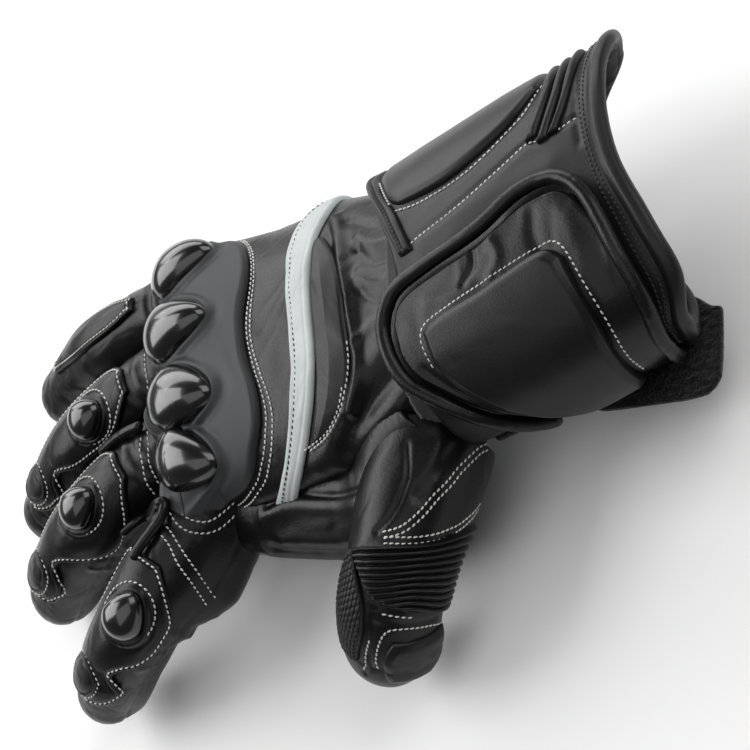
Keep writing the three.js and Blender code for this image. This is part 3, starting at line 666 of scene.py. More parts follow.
leather = leatherMaterial("black leather", (0.0045, 0.0044, 0.0047), 0.32, 1350.0, 0.06)
cuffLeather = leatherMaterial("cuff leather", (0.0078, 0.0076, 0.0081), 0.39, 1500.0, 0.04)
palmLeather = leatherMaterial("palm leather", (0.0056, 0.0055, 0.0057), 0.46, 1200.0, 0.07)
padLeather = leatherMaterial("pad leather", (0.007, 0.0068, 0.0073), 0.35, 1700.0, 0.035)
lining = stretchMaterial("plain lining", (0.008, 0.008, 0.0085), 420.0)
moulding, gloss = guardMaterial(), glossMaterial()
reflectiveCloth, hookTape = reflectiveMaterial(), hookMaterial()
whiteThread = threadMaterial("white thread", (0.74, 0.73, 0.71))
# Black thread: real black seams, and on the reflective band painted shade in the stitch holes
blackThreadAndHoleShade = threadMaterial("black thread and painted hole shade", (0.01, 0.01, 0.0105))
print("materials ready")


# Cuff

cuffLook = {
    "leather": 2.2, "start": 4.0, "edge": 1.1, "waves": (0.16, 34, 3), "insideWaves": (0.15, 20, 5),
    "cornerStitch": [(3.4, 43), (3.2, 54.5), (3.03, 64)],
    "topStitch": [(3.0, 66.5), (2.73, 69), (2.45, 70), (2.1, 70), (1.76, 67.5), (1.44, 62), (1.22, 56),
                  (1.06, 42)],
    "backSeam": [(2.91, 85), (2.62, 83.5), (2.2, 82), (1.78, 79), (1.4, 75.5), (1.2, 74), (1.05, 76),
                 (0.75, 76.5), (0.46, 76)],
    "folds": [  # places, width, height
        ([(3.2, 90), (2.6, 91), (2.1, 92), (1.7, 91)], 3.2, -0.8),
        ([(2.6, 87), (1.8, 86), (1.0, 88)], 5.0, 0.5),
        ([(0.46, 86), (0.44, 40), (0.45, 10)], 1.3, -0.6),
        ([(0.42, 230), (0.42, 270), (0.42, 320)], 1.3, -0.7),
        ([(2.0, 236), (1.2, 240), (0.5, 244)], 1.2, -0.7),
        ([(3.2, 330), (1.5, 335), (0.5, 338)], 1.2, -0.7),
        ([(3.0, 210), (2.6, 230), (2.9, 250)], 2.2, 0.7), ([(2.2, 250), (2.5, 280), (2.2, 310)], 2.8, 0.5)],
}


# Station at a given distance behind the rim, where the rim's reach lengthens the first stretch of the cuff
def behindRim(distance, angle):
    first = cuffForm["stations"][0][0] - cuffForm["stations"][1][0]
    return distance / (first + 2 * smoothRound(cuffForm["rimReach"], angle) / cuffForm["rimFade"])


def cuffRelief(points):
    seams = [(cuffLook["topStitch"], 0.8, -0.3), (cuffLook["backSeam"], 0.9, -0.55)]
    return lineRelief(cuffSkin, points, cuffLook["folds"] + seams) + unevenness(points, cuffLook["waves"])


# Rings mixed between a start behind the rim and an end at the wrist, w running from 0 to 1
def cuffRings(rows, sides, start, ends):
    w = np.linspace(0, 1, rows)[:, None]
    angle = np.broadcast_to(ringAngles(sides)[None], (rows, sides))
    first = behindRim(start, angle)
    return w, first + (ends - first) * w, angle


def makeCuff(rows=110, sides=280):
    ends = smoothRound(cuffForm["ends"], ringAngles(sides))
    w, t, angle = cuffRings(rows, sides, cuffLook["start"], ends)
    normal = skinNormal(cuffSkin, t, angle)
    length = 70  # of the cuff behind the binding, for the rounding of its wrist edge
    thinned = ((1 - roundEdge((1 - w) * length, cuffLook["edge"])) * cuffLook["leather"] / 2)[..., None]
    outer = onSkin(cuffSkin, t, angle, cuffRelief(cuffSkin(t, angle))) - normal * thinned
    inside = unevenness(outer, cuffLook["insideWaves"]) - cuffLook["leather"]
    inner = onSkin(cuffSkin, t, angle, inside) + normal * thinned
    points, faces = wallOf(outer, inner)
    return makePiece("cuff_wall", points, faces, cuffLeather, ["cuff"])


liningLook = {"start": 3.0, "end": 3.4, "lift": -3.3, "hang": 2.5, "thick": 0.6, "waves": (0.5, 18, 7),
              "creases": (0.5, 13, 8)}


# Lining: a thin closed sleeve that hangs inside the cuff and the hand
def makeCuffLining(rows=60, sides=160):
    w, t, angle = cuffRings(rows, sides, liningLook["start"], liningLook["end"])
    pucker = unevenness(cuffSkin(t, angle), liningLook["waves"], liningLook["creases"])
    outer = onSkin(cuffSkin, t, angle, liningLook["lift"] + pucker - liningLook["hang"] * w ** 2)
    inner = outer - skinNormal(cuffSkin, t, angle) * liningLook["thick"]
    points, faces = wallOf(outer, inner)
    return makePiece("cuff_lining", points, faces, lining)


bindingLook = {"width": 6.0, "thick": 4.6, "over": 0.2, "square": 0.8, "waves": (0.02, 16, 11),
               "groove": 0.6, "grooveAt": 0.62, "grooveWidth": 0.16, "stitch": 1.6}


# Binding: an oval section carried round the rim, with a groove where it is stitched
def makeBinding(sides=420, around=20):
    look = bindingLook
    angle = np.broadcast_to(ringAngles(sides)[:, None], (sides, around))
    a = np.broadcast_to(ringAngles(around, 2 * np.pi)[None], (sides, around))
    middle = behindRim(look["width"] / 2, angle)
    ahead = unit(skinSteps(cuffSkin, middle, angle)[0])
    centre = onSkin(cuffSkin, middle, angle, -cuffLook["leather"] / 2)
    swell = 1 + unevenness(centre, look["waves"])
    groove = look["groove"] * bell(np.cos(a), look["grooveAt"], look["grooveWidth"]) * (np.sin(a) > 0)
    x = (look["width"] / 2 + look["over"]) * np.cos(a) * swell
    y = (look["thick"] / 2 * swell - groove) * power(np.sin(a), look["square"])
    points = centre + ahead * x[..., None] + skinNormal(cuffSkin, middle, angle) * y[..., None]
    faces = quadGrid(sides + 1, around, True) % (sides * around)
    return makePiece("cuff_rim_binding", points, faces[:, ::-1], cuffLeather, ["cuff_binding"])


cuffPanelLook = {
    "skin": "cuff", "low": 0.2, "thick": 1.7, "edge": 2.6, "crown": (0.9, 16, 0.7), "grid": (90, 120),
    "rows": [(1.1, -18, 45), (1.44, -24, 60), (2.1, -26, 67.5), (2.73, -26, 66.5), (3.0, -22, 63),
             (3.2, -12, 54), (3.44, 6, 39)],
}


def makeCuffPanel():
    piece = panel("cuff_top_pad", cuffPanelLook, padLeather, ["cuff_panel"])
    return piece


# Places a given distance inside the border of a panel, for a stitch line that follows its outline
def insetPlaces(look, inset, count=44):
    skin = skins[look["skin"]]
    t, angle = (borderOf(g) for g in panelGrid(look))
    points = skin(t, angle)
    middle = points.mean(0)
    ahead = unit(np.roll(points, -3, 0) - np.roll(points, 3, 0))
    inwards = unit(np.cross(skinNormal(skin, t, angle), ahead))
    inwards = inwards * np.sign((inwards * (middle - points)).sum(-1, keepdims=True))
    along, around = (unit(step) for step in skinSteps(skin, t, angle))
    perT, perAngle = skinScale(skin, t, angle)
    t = t + inset * (inwards * along).sum(-1) / perT
    angle = angle + inset * (inwards * around).sum(-1) / perAngle
    pick = np.linspace(0, len(t), count, endpoint=False).astype(int)
    return np.stack([t[pick], angle[pick]], 1)


# A line along the columns of a panel, at a share of the way from its near to its far edge
def lineAcross(look, share):
    return [(near + (far - near) * share, angle) for angle, near, far in look["columns"]]


wristBandLook = {
    "skin": "cuff", "low": 0.1, "thick": 1.7, "edge": 1.8, "waves": (0.1, 12, 21), "grid": (20, 150),
    "columns": [(12, 3.56, 3.81), (34, 3.54, 3.8), (50, 3.32, 3.56), (66, 2.99, 3.26), (78, 2.84, 3.06),
                (87, 2.74, 2.92)],
    "groove": (0.7, -0.9), "grooveAt": 0.55, "sunk": 0.65,
}


def makeWristBand():
    look = wristBandLook
    line = lineAcross(look, look["grooveAt"])

    def grooved(points, distance):
        return lineRelief(cuffSkin, points, [(line, *look["groove"])]) + unevenness(points, look["waves"])
    piece = panel("cuff_wrist_band", look, cuffLeather, ["wrist_band"], grooved)
    sew(cuffSkin, line, topOf(look) - look["sunk"], thread="black")
    return piece


# Pleats behind the rim: each is a narrow ridge that bends towards the wrist at its lower end
ribLook = {
    "skin": "cuff", "low": -0.1, "thick": 1.8, "edge": 1.7, "half": 0.075, "grid": (18, 120), "firstSeed": 30,
    "ridges": [[(30, 0.94), (50, 0.93), (62, 1.0), (74, 1.14)], [(30, 0.74), (54, 0.74), (66, 0.84),
                (77.5, 1.0)],
               [(30, 0.54), (56, 0.56), (68, 0.66), (77, 0.84)]],
}


def makeStretchRib(k):
    columns = [(a, t - ribLook["half"], t + ribLook["half"]) for a, t in ribLook["ridges"][k]]
    look = {**ribLook, "columns": columns, "waves": (0.08, 9, ribLook["firstSeed"] + k)}
    return panel(f"cuff_rib_{k + 1}", look, cuffLeather, [f"stretch_rib_{k + 1}"])


# Closing flap: a thick leather slab, its rolled edge and the pad on it

flapLook = {
    "skin": "cuff", "low": 1.6, "thick": 2.0, "edge": 1.6, "grid": (140, 160), "waves": (0.22, 26, 41),
    "rows": [(0.6, 112, 222), (0.84, 97.5, 225), (1.3, 94.5, 226), (1.6, 96, 222), (1.85, 98, 208),
             (2.08, 98.5, 192), (2.4, 99, 173), (2.75, 100, 147), (2.98, 103, 133), (3.08, 109, 122)],
    "folds": [
        ([(1.95, 99), (2.0, 105), (2.15, 109)], 1.3, -0.7),
        ([(1.75, 99), (1.72, 106), (1.85, 112)], 2.2, 0.6),
        ([(1.25, 100), (1.32, 108), (1.3, 118)], 2.4, -0.5),
        ([(2.6, 108), (2.35, 110), (2.1, 110)], 2.6, 0.4),
        ([(0.9, 104), (0.95, 140), (0.9, 200)], 3.2, 0.35),
        ([(2.86, 132), (2.6, 150), (2.3, 170)], 1.4, -0.5)],
}
flapEdgeLook = {
    "radius": 2.45, "lift": 3.9, "spacing": 0.6, "gather": 0.03, "seed": 81,
    "path": [(.52, 200), (.5, 170), (.52, 140), (.52, 118), (.56, 103), (.8, 94), (1.3, 91), (1.9, 94.5),
             (2.5, 95.5), (2.95, 98), (3.17, 106), (3.2, 118), (3.08, 134), (2.8, 151), (2.43, 178),
             (2.12, 196)],
}
flapPadLook = {
    "skin": "cuff", "low": 3.8, "thick": 2.2, "edge": 0.9, "grid": (90, 120),
    "bevel": (1.5, 3.2), "crown": (0.25, 14, 1), "waves": (0.06, 20, 51),
    "rows": [(1.12, 120, 199), (1.28, 114, 201), (1.7, 114, 199), (2.05, 115, 184), (2.35, 115, 166),
             (2.58, 116, 146), (2.7, 118, 131)],
    "stitch": [(2.76, 133), (2.78, 120), (2.68, 115), (2.36, 113.4), (1.7, 112), (1.26, 112), (1.13, 113.6),
               (1.06, 120), (1.04, 140), (1.03, 165), (1.04, 190)],
}


def flapRelief(points):
    return lineRelief(cuffSkin, points, flapLook["folds"]) + unevenness(points, flapLook["waves"])


def makeFlap():
    return panel("cuff_flap_leather", flapLook, leather, ["cuff_flap"],
                 lambda points, distance: flapRelief(points))


# A rounded cord: a circle carried square to a line of centres, closed by a rounded cap at both ends
def cordBody(centre, out, radius, gather, seed, sides=18):
    ahead = unit(np.gradient(centre, axis=0))
    side = unit(np.cross(ahead, out))
    out = np.cross(side, ahead)
    a = ringAngles(sides, 2 * np.pi)[None]
    run = np.concatenate([[0], np.cumsum(np.linalg.norm(np.diff(centre, axis=0), axis=1))])[:, None]
    ends = roundEdge(np.minimum(run, run[-1] - run), radius)
    place = centre[:, None] + side[:, None] * np.cos(a)[..., None] * radius
    girth = radius * (1 + gather * softNoise(place, 7, seed)) * np.maximum(ends, 0.05)
    ring = side[:, None] * (np.cos(a) * girth)[..., None] + out[:, None] * (np.sin(a) * girth)[..., None]
    points = (centre[:, None] + ring).reshape(-1, 3)
    return np.vstack([points, centre[-1:], centre[:1]]), closedRings(len(centre), sides)


def makeFlapEdge():
    look = flapEdgeLook
    t, angle = route(cuffSkin, look["path"], look["spacing"])
    centre = onSkin(cuffSkin, t, angle, look["lift"])
    out = skinNormal(cuffSkin, t, angle)
    body, faces = cordBody(centre, out, look["radius"], look["gather"], look["seed"])
    return makePiece("cuff_flap_edge", body, faces, leather, ["flap_edge"])


def makeFlapPad():
    piece = panel("cuff_flap_pad", flapPadLook, padLeather, ["flap_pad"])
    sew(cuffSkin, flapPadLook["stitch"], topOf(flapLook) + 0.08, relief=flapRelief)
    return piece


strapLook = {
    "skin": "cuff", "low": 0.2, "thick": 2.0, "edge": 1.2, "waves": (0.15, 14, 61), "grid": (44, 190),
    "columns": [(205, 2.45, 2.98), (225, 2.4, 2.95), (262, 2.4, 2.95), (300, 2.45, 3.0), (322, 2.6, 2.95)],
    "inset": 1.9,
}


def makeWristStrap():
    piece = panel("wrist_strap_leather", strapLook, leather, ["wrist_strap"])
    outline = insetPlaces(strapLook, strapLook["inset"])
    sew(cuffSkin, outline, topOf(strapLook) + 0.05, closed=True, thread="black")
    return piece


# Hook tab: a plate through its outline, bent along its length, with a felted face
tabLook = {
    "outline": [(-50, -20), (-56, -30), (-56, -40), (-50, -46), (-22, -58), (-12, -61), (-6, -57), (-2, -34),
                (-6, -30), (-16, -20)],
    "thick": 2.4, "middle": (-29, -40), "edge": 1.3, "fuzzEdge": 1.5,
    "slopes": [(-20, -28.9, 0.22), (-33, -26.0, 0.17)],  # from y, height there, rise towards -Y
    "bendAt": -33,
    "fuzz": [(0.35, 2.2, 71), (0.45, 5.5, 72), (0.25, 1.3, 73)],
}


def makeHookTab(rings=50, sides=200):
    look = tabLook
    corners = np.array(look["outline"] + look["outline"][:1], float)
    k = ringAngles(sides, len(look["outline"]))
    straight = np.stack([np.interp(k, np.arange(len(corners)), corners[:, c]) for c in (0, 1)], 1)
    edge = (smoothRows(corners, k) + straight) / 2
    middle = np.array(look["middle"], float)
    xy = middle + (edge[None] - middle) * np.linspace(1, 0.02, rings)[:, None, None]
    upper, lower = (high + (y - xy[..., 1]) * rise for y, high, rise in look["slopes"])
    height = np.where(xy[..., 1] > look["bendAt"], upper, lower)
    place = np.concatenate([xy, height[..., None]], -1)
    distance = distanceTo(place, place[0])
    half = look["thick"] / 2
    lift = half * roundEdge(distance, look["edge"])
    fuzz = sum(unevenness(place, waves) for waves in look["fuzz"])
    fuzz = fuzz * np.clip(distance / look["fuzzEdge"], 0, 1)
    top, foot = place.copy(), place.copy()
    top[..., 2] += lift - half + fuzz
    foot[..., 2] -= lift + half + fuzz
    points = np.vstack([top.reshape(-1, 3), foot.reshape(-1, 3), [top[-1].mean(0)], [foot[-1].mean(0)]])
    base, ring = rings * sides, np.arange(sides)
    after, last = (ring + 1) % sides, (rings - 1) * sides
    faces = [*quadGrid(rings, sides, True), *(quadGrid(rings, sides, True, base)[:, ::-1]),
             *np.stack([ring, after, base + after, base + ring], 1),
             *np.stack([last + ring, np.full(sides, 2 * base), last + after], 1),
             *np.stack([base + last + ring, base + last + after, np.full(sides, 2 * base + 1)], 1)]
    return makePiece("hook_tab", points, faces, hookTape, ["closure_strap"])


makeCuff()
makeCuffLining()
makeBinding()
makeCuffPanel()
makeWristBand()
for k in range(3):
    makeStretchRib(k)
makeFlap()
makeFlapEdge()
makeFlapPad()
makeWristStrap()
makeHookTab()
rimLine = [(behindRim(bindingLook["width"] + bindingLook["stitch"], a), a) for a in range(0, 360, 12)]
sew(cuffSkin, rimLine, 0.1, closed=True, relief=cuffRelief, thread="black")
sew(cuffSkin, cuffLook["topStitch"], 0.25, relief=cuffRelief)
sew(cuffSkin, cuffLook["cornerStitch"], 1.55)
sew(cuffSkin, cuffLook["backSeam"], 0.1, relief=cuffRelief)
print("cuff made")


# Hand: back and palm in one shell, which rises to meet the web of the thumb

handLook = {
    "leather": 2.2, "waves": (0.25, 30, 101), "creases": (0.12, 30, 103), "webReach": 11,
    "knuckles": 4.6, "knuckleRows": 60, "insideEnd": 6.6,
    "flatFrom": 6.4, "flatLength": 1.2, "startLength": 0.5,
    "folds": [  # places, width, height
        # broad folds that run out of the cuff beside the wrist pad
        ([(0.5, 108), (1.1, 122), (1.7, 142), (2.4, 162)], 5.0, 1.5),
        ([(0.5, 124), (1.1, 140), (1.8, 160)], 3.4, -1.3),
        ([(0.5, 140), (1.2, 158), (2.0, 174)], 5.5, 1.4), ([(0.5, 152), (1.3, 171), (2.2, 186)], 3.4, -1.0),
        ([(2.0, 150), (2.6, 164), (3.2, 172)], 6.0, 0.7),
        # short gathers at the cuff
        ([(0.62, 104), (0.95, 103), (1.2, 108)], 2.2, 0.8), ([(0.62, 96), (0.9, 94), (1.15, 88)], 1.8, -0.9),
        ([(0.62, 88), (0.9, 86), (1.2, 80)], 2.4, 0.9), ([(0.62, 78), (0.95, 76), (1.3, 68)], 1.8, -0.9),
        ([(0.62, 68), (0.95, 66), (1.35, 60)], 2.6, 0.8), ([(0.62, 56), (1.2, 53), (1.7, 48)], 2.0, -0.8),
        # lip of leather along the wrist pad
        ([(1.92, 44), (1.76, 58), (1.56, 74), (1.33, 92), (1.21, 110), (1.22, 124), (1.42, 140)], 2.3, 1.9),
        ([(2.0, 48), (1.85, 62), (1.68, 76), (1.44, 92)], 1.2, -0.6),
        # side and palm
        ([(3.2, 158), (3.2, 172), (3.6, 188), (4.0, 198)], 3.4, 0.8),
        ([(3.9, 164), (4.0, 178), (4.4, 190)], 3.0, 0.7),
        ([(1.5, 200), (2.4, 208), (3.4, 206), (4.4, 204)], 1.8, -1.0),
        ([(2.4, 4), (3.0, 8), (3.8, 10), (4.6, 16)], 2.2, -0.8),
        ([(2.2, -10), (3.2, -6), (4.4, 2)], 3.0, 0.6),
        ([(3.9, 232), (4.2, 255), (4.3, 285), (4.0, 312)], 2.2, -1.2),
        ([(2.6, 226), (3.2, 238), (3.9, 262), (4.0, 300)], 2.0, -1.1),
        ([(1.2, 250), (1.9, 236), (2.6, 222)], 2.2, -1.1)],
}


# Rise near another skin that fills the hollow between the two: (reach - gap)^2 / (4 reach). The gap is
# sqrt(d^2 + blur^2), with d the distance to the other skin's points, so that their spacing doesn't show.
def fillet(points, otherPoints, reach, blur=2.6):
    gap = np.hypot(distanceTo(points, otherPoints), blur)
    return np.clip(reach - gap, 0, None) ** 2 / (4 * reach)


def skinCloud(skin, ts, count=90):
    return skin(np.asarray(ts)[:, None], ringAngles(count)[None]).reshape(-1, 3)


def handRelief(points):
    web = skinCloud(skins["web"], np.linspace(0, 1, 60))
    return (lineRelief(handSkin, points, handLook["folds"]) + fillet(points, web, handLook["webReach"])
            + unevenness(points, handLook["waves"], handLook["creases"]))


# The relief fades out towards the cuff and towards the fingers, which cover both ends
def makeHand(rows=210, sides=300):
    look = handLook
    last, close = len(handForm["stations"]) - 1, look["knuckleRows"]
    knuckles = look["knuckles"]
    t = np.concatenate([np.linspace(0, knuckles, rows - close), np.linspace(knuckles + 0.02, last, close)])
    t, angle = np.broadcast_arrays(t[:, None], ringAngles(sides)[None])
    fade = np.clip((look["flatFrom"] - t) / look["flatLength"], 0, 1) * np.clip(t / look["startLength"], 0, 1)
    outer = onSkin(handSkin, t, angle, handRelief(handSkin(t, angle)) * fade)
    poles = np.vstack([handSkin(end, [0, 180]).mean(0) for end in (last, look["insideEnd"])])
    inner = handSkin(np.minimum(t, look["insideEnd"]), angle, -look["leather"])
    points, faces = wallOf(outer, inner, poles)
    return makePiece("hand_leather", points, faces, leather, ["hand_body"])


webLook = {
    "folds": [
        ([(0.1, 126), (0.2, 108), (0.34, 95), (0.5, 86), (0.63, 82), (0.74, 92)], 1.1, -0.9),
        ([(0.1, 136), (0.2, 120), (0.34, 107), (0.5, 98), (0.64, 95), (0.76, 106)], 2.6, 0.9),
        ([(0.3, 150), (0.5, 146), (0.7, 142)], 3.2, 0.8), ([(0.3, 168), (0.5, 164), (0.75, 156)], 2.2, -0.8),
        ([(0.25, 190), (0.5, 184), (0.8, 172)], 3.0, 0.7), ([(0.35, 78), (0.5, 70), (0.7, 62)], 3.0, 0.5),
        ([(0.2, 220), (0.5, 230), (0.8, 220)], 2.4, 0.7)],
    "waves": (0.2, 22, 111), "handReach": 13, "thumbReach": 14,
}
sleeveWall = 2.2
lastSlope = 1.97  # station up to which a sleeve's slope is measured: the pole at 2 has none


# A hollow finger or web: rows along the spine, then over the round tip, raised by its relief
def makeSleeve(pieceName, name, relief, nodes=(), rows=130, tipRows=26, sides=130):
    s = np.concatenate([np.linspace(0, 1, rows), np.linspace(1, 2, tipRows + 1)[1:-1]])[:, None]
    s, angle = np.broadcast_arrays(s, ringAngles(sides)[None])
    skin = skins[name]
    base = skin(s, angle)
    outer = base + skinNormal(skin, np.minimum(s, lastSlope), angle) * relief(base)[..., None]
    inner = skin(s, angle, -sleeveWall)
    tip = skin(2.0, 90.0)
    ahead = unit(tip - skin(1.0, [90.0, 270.0]).mean(0))
    poles = np.vstack([tip + ahead * relief(outer[-1]).mean(), skin(2.0, 90.0, -sleeveWall)])
    points, faces = wallOf(outer, inner, poles)
    return makePiece(pieceName, points, faces, leather, nodes)


def webRelief(points):
    hand = skinCloud(handSkin, np.linspace(0.6, 5, 60), 120)
    thumb = skinCloud(skins["thumb"], np.linspace(0, 0.8, 50))
    return (lineRelief(skins["web"], points, webLook["folds"]) + unevenness(points, webLook["waves"])
            + fillet(points, hand, webLook["handReach"]) + fillet(points, thumb, webLook["thumbReach"]))


# Knuckle guard

guardLook = {
    "skin": "hand", "low": 0.3, "thick": 2.3, "edge": 1.8, "grid": (130, 250), "crown": (0.8, 16, 1),
    "waves": (0.08, 20, 121),
    "columns": [(22, 4.3, 4.85), (30, 3.83, 5.15), (43, 3.5, 5.35), (61, 3.25, 5.12), (79, 3.2, 5.2),
                (93, 3.07, 4.95), (107, 2.92, 4.98), (122, 2.9, 4.78), (137, 3.0, 4.82), (147, 3.06, 4.86),
                (154, 3.12, 4.8), (160, 3.2, 4.42), (165, 3.31, 4.16), (170, 3.46, 3.98), (174.5, 3.62, 3.8)],
}
knuckleLook = {
    "places": [  # station, angle, length, width, turn
        (4.74, 43, 24, 18, 8), (4.45, 79, 26, 20.5, 4), (4.15, 107.5, 26.5, 22.5, 0),
        (4.06, 138, 23.5, 21, -4)],
    "low": 2.9, "high": 8.4, "tail": 0.36, "pinch": 0.2, "rings": 30, "sides": 72,
    "rim": [(1.3, 1.13, 0.1), (-0.35, 1.36, 0.14)],  # lip and ditch round it: height, place, width
}
domeForm = {"tilt": 0.14, "fullness": 0.9, "collar": 1.06, "collarDrop": 0.2, "footDrop": 1.2}


# Measure round a dome, 1 on its outline. The wrist half is drawn out and narrowed.
def domeMeasure(skin, points, place, look):
    t, angle, length, width, turn = place
    centre = skin(t, angle)
    ahead, side = (unit(step) for step in skinSteps(skin, t, angle))
    c, s = np.cos(np.radians(turn)), np.sin(np.radians(turn))
    along = (points - centre) @ (ahead * c + side * s) * 2 / length
    across = (points - centre) @ (side * c - ahead * s) * 2 / width
    behind = along < 0
    along = np.where(behind, along / (1 + look["tail"]), along)
    across = np.where(behind, across / (1 - look["pinch"] * np.clip(-along, 0, 1)), across)
    return np.hypot(along, across)


def domeRim(skin, points, place, look):
    reach = domeMeasure(skin, points, place, look)
    return sum(height * bell(reach, at, width) for height, at, width in look["rim"])


# How far sleeves stand over a point of the hand: the most of (their radius - distance to their spine)
def sleeveRise(points, names):
    rise = np.zeros(points.shape[:-1])
    for name in names:
        root, tip, _, _, spine = sleeveForm[name]
        u = np.linspace(0, 1, 60)
        radius = (root + (tip - root) * u) * (1 - rootTaper * (1 - np.minimum(u / rootLength, 1)) ** 2)
        for centre, r in zip(smoothRows(spine, u * (len(spine) - 1)), radius):
            rise = np.maximum(rise, r + 0.9 - np.linalg.norm(points - centre, axis=-1))
    return rise


def fingerRise(points):
    return sleeveRise(points, ("index", "middle"))


def guardRelief(points, distance):
    rims = (domeRim(handSkin, points, place, knuckleLook) for place in knuckleLook["places"])
    return ownRelief(guardLook)(points, distance) + sum(rims)


def makeGuard():
    return panel("knuckle_guard_moulding", guardLook, moulding, ["knuckle_guard"],
                 guardRelief, fingerRise)


# A polished shell: rings from its outline to its crown, its height following (1 - reach^2)^0.45
def makeDome(name, skinName, place, look, node):
    skin, sides, low, form = skins[skinName], look["sides"], look["low"], domeForm
    t, angle, length, width, turn = place
    perT, perAngle = skinScale(skin, t, angle)
    dive = np.linspace(0, np.pi / 2, look["rings"])[:-1, None]
    reach, a = np.cos(dive), ringAngles(sides, 2 * np.pi)[None]
    behind = np.clip(-np.cos(a), 0, 1)
    u = reach * length / 2 * np.where(behind > 0, -behind * (1 + look["tail"]), np.cos(a))
    v = reach * width / 2 * np.sin(a) * (1 - look["pinch"] * behind)
    c, s = np.cos(np.radians(turn)), np.sin(np.radians(turn))
    du, dv = (u * c - v * s) / perT, (u * s + v * c) / perAngle
    lift = low + look["high"] * np.sin(dive) ** form["fullness"] * (1 - form["tilt"] * reach * np.cos(a))
    top = onSkin(skin, t + du, angle + dv, lift)
    wider = form["collar"]
    collar = onSkin(skin, t + du[:1] * wider, angle + dv[:1] * wider, low - form["collarDrop"])
    foot = onSkin(skin, t + du[:1], angle + dv[:1], low - form["footDrop"])
    grid = np.concatenate([foot, collar, top])
    poles = [onSkin(skin, t, angle, lift) for lift in (low + look["high"], low - form["footDrop"])]
    points = np.vstack([grid.reshape(-1, 3), *poles])
    return makePiece(name, points, closedRings(len(grid), sides), gloss, [node])


# Fingers: stalls, shields, shells and tip patches

fingerNames = ("index", "middle", "ring", "little")
fingerLook = {
    "shields": {
        "index": [(.245, 62, 122), (.265, 52, 138), (.30, 48, 160), (.33, 48, 176), (.38, 50, 179),
                  (.43, 52, 176), (.48, 54, 163), (.52, 56, 147), (.58, 58, 142), (.63, 62, 152),
                  (.69, 68, 164), (.75, 76, 157), (.80, 86, 145), (.85, 98, 125)],
        "middle": [(.21, 72, 118), (.235, 54, 138), (.265, 46, 162), (.31, 45, 180), (.36, 46, 188),
                   (.41, 50, 180), (.46, 54, 156), (.52, 57, 133), (.58, 60, 127), (.63, 62, 131),
                   (.68, 64, 146), (.75, 68, 154), (.82, 76, 147), (.86, 90, 124)],
        "ring": [(.185, 70, 112), (.21, 54, 126), (.25, 46, 145), (.30, 46, 153), (.36, 48, 150),
                 (.42, 53, 146), (.47, 57, 134), (.51, 60, 129), (.56, 63, 133), (.61, 66, 148),
                 (.68, 72, 151), (.76, 82, 142), (.82, 94, 126)],
        "little": [(.22, 70, 96), (.3, 58, 108), (.45, 56, 111), (.6, 62, 105), (.77, 78, 97)]},
    "domes": {"index": (.37, 115, 15, 13, 0), "middle": (.34, 102, 14.5, 12.5, 0),
              "ring": (.3, 105, 14, 12, 0)},
    "tips": {"index": (.72, 100, 19, 13), "middle": (.74, 100, 18, 12), "ring": (.69, 102, 17, 11.5)},
    "swells": {"index": [([(0.0, 232), (0.1, 231), (0.24, 230)], 12, 8.0),
                         ([(0.55, 232), (0.8, 235), (1.1, 238), (1.5, 245)], 11, -4.4)],
               "middle": [([(0.85, 232), (1.05, 236), (1.3, 240)], 8, -2.0)]},
    "handReach": 6, "filled": 0.6, "firstSeed": 200,
}
shieldLook = {
    "low": 0.3, "thick": 1.6, "edge": 0.9, "grid": (84, 90), "crown": (0.5, 6, 1), "furrow": (0.25, 1.5, 0.5),
    "waves": (0.12, 14, 131), "creases": (0.08, 18, 132), "inset": 1.5, "round": (1.4, 1.36),
}
shellLook = {"low": 2.3, "high": 5.6, "tail": 0.25, "pinch": 0.2, "rings": 24, "sides": 60,
             "rim": [(0.8, 1.12, 0.1), (-0.3, 1.34, 0.08)]}
tipLook = {"low": 1.9, "thick": 1.0, "edge": 0.8, "crown": (0.35, 4, 1), "furrow": (0.25, 1.5, 0.5),
           "waves": (0.1, 7, 141), "foot": 0.8, "seam": 0.9, "seamLift": 0.35}


# Creases across the joints on the palm side, tucks on the back behind each shield, and a seam down both sides
def fingerRelief(name):
    skin, seed = skins[name], fingerLook["firstSeed"] + 10 * fingerNames.index(name)
    folds = [([(s, 215), (s + 0.015, 270), (s, 325)], 1.5, -0.9) for s in (0.34, 0.62)]
    folds += [([(s, 225), (s + 0.01, 270), (s, 315)], 1.5, 0.6) for s in (0.3, 0.38, 0.58, 0.66)]
    folds += [([(s, 60), (s + 0.006, 100), (s, 150)], 1.1, 0.6) for s in (0.12, 0.155, 0.19)]
    folds += [([(s, 62), (s + 0.006, 100), (s, 148)], 0.8, -0.5) for s in (0.138, 0.172)]
    folds += [([(s, 178), (s + 0.01, 200), (s + 0.03, 224)], 1.6, height)
              for s, height in ((0.36, 0.6), (0.42, -0.6), (0.5, 0.5))]
    folds += [([(0.05, a), (0.5, a + 2), (1.0, a), (1.5, a)], 0.8, -0.5) for a in (8, 194)]
    folds += fingerLook["swells"].get(name, [])

    def relief(points):
        hand = skinCloud(handSkin, np.linspace(3.5, 6.5, 50), 120)
        uneven = unevenness(points, (0.18, 18, seed), (0.12, 22, seed + 1))
        filled = fingerLook["filled"] * fillet(points, hand, fingerLook["handReach"])
        return lineRelief(skin, points, folds) + uneven + filled
    return relief


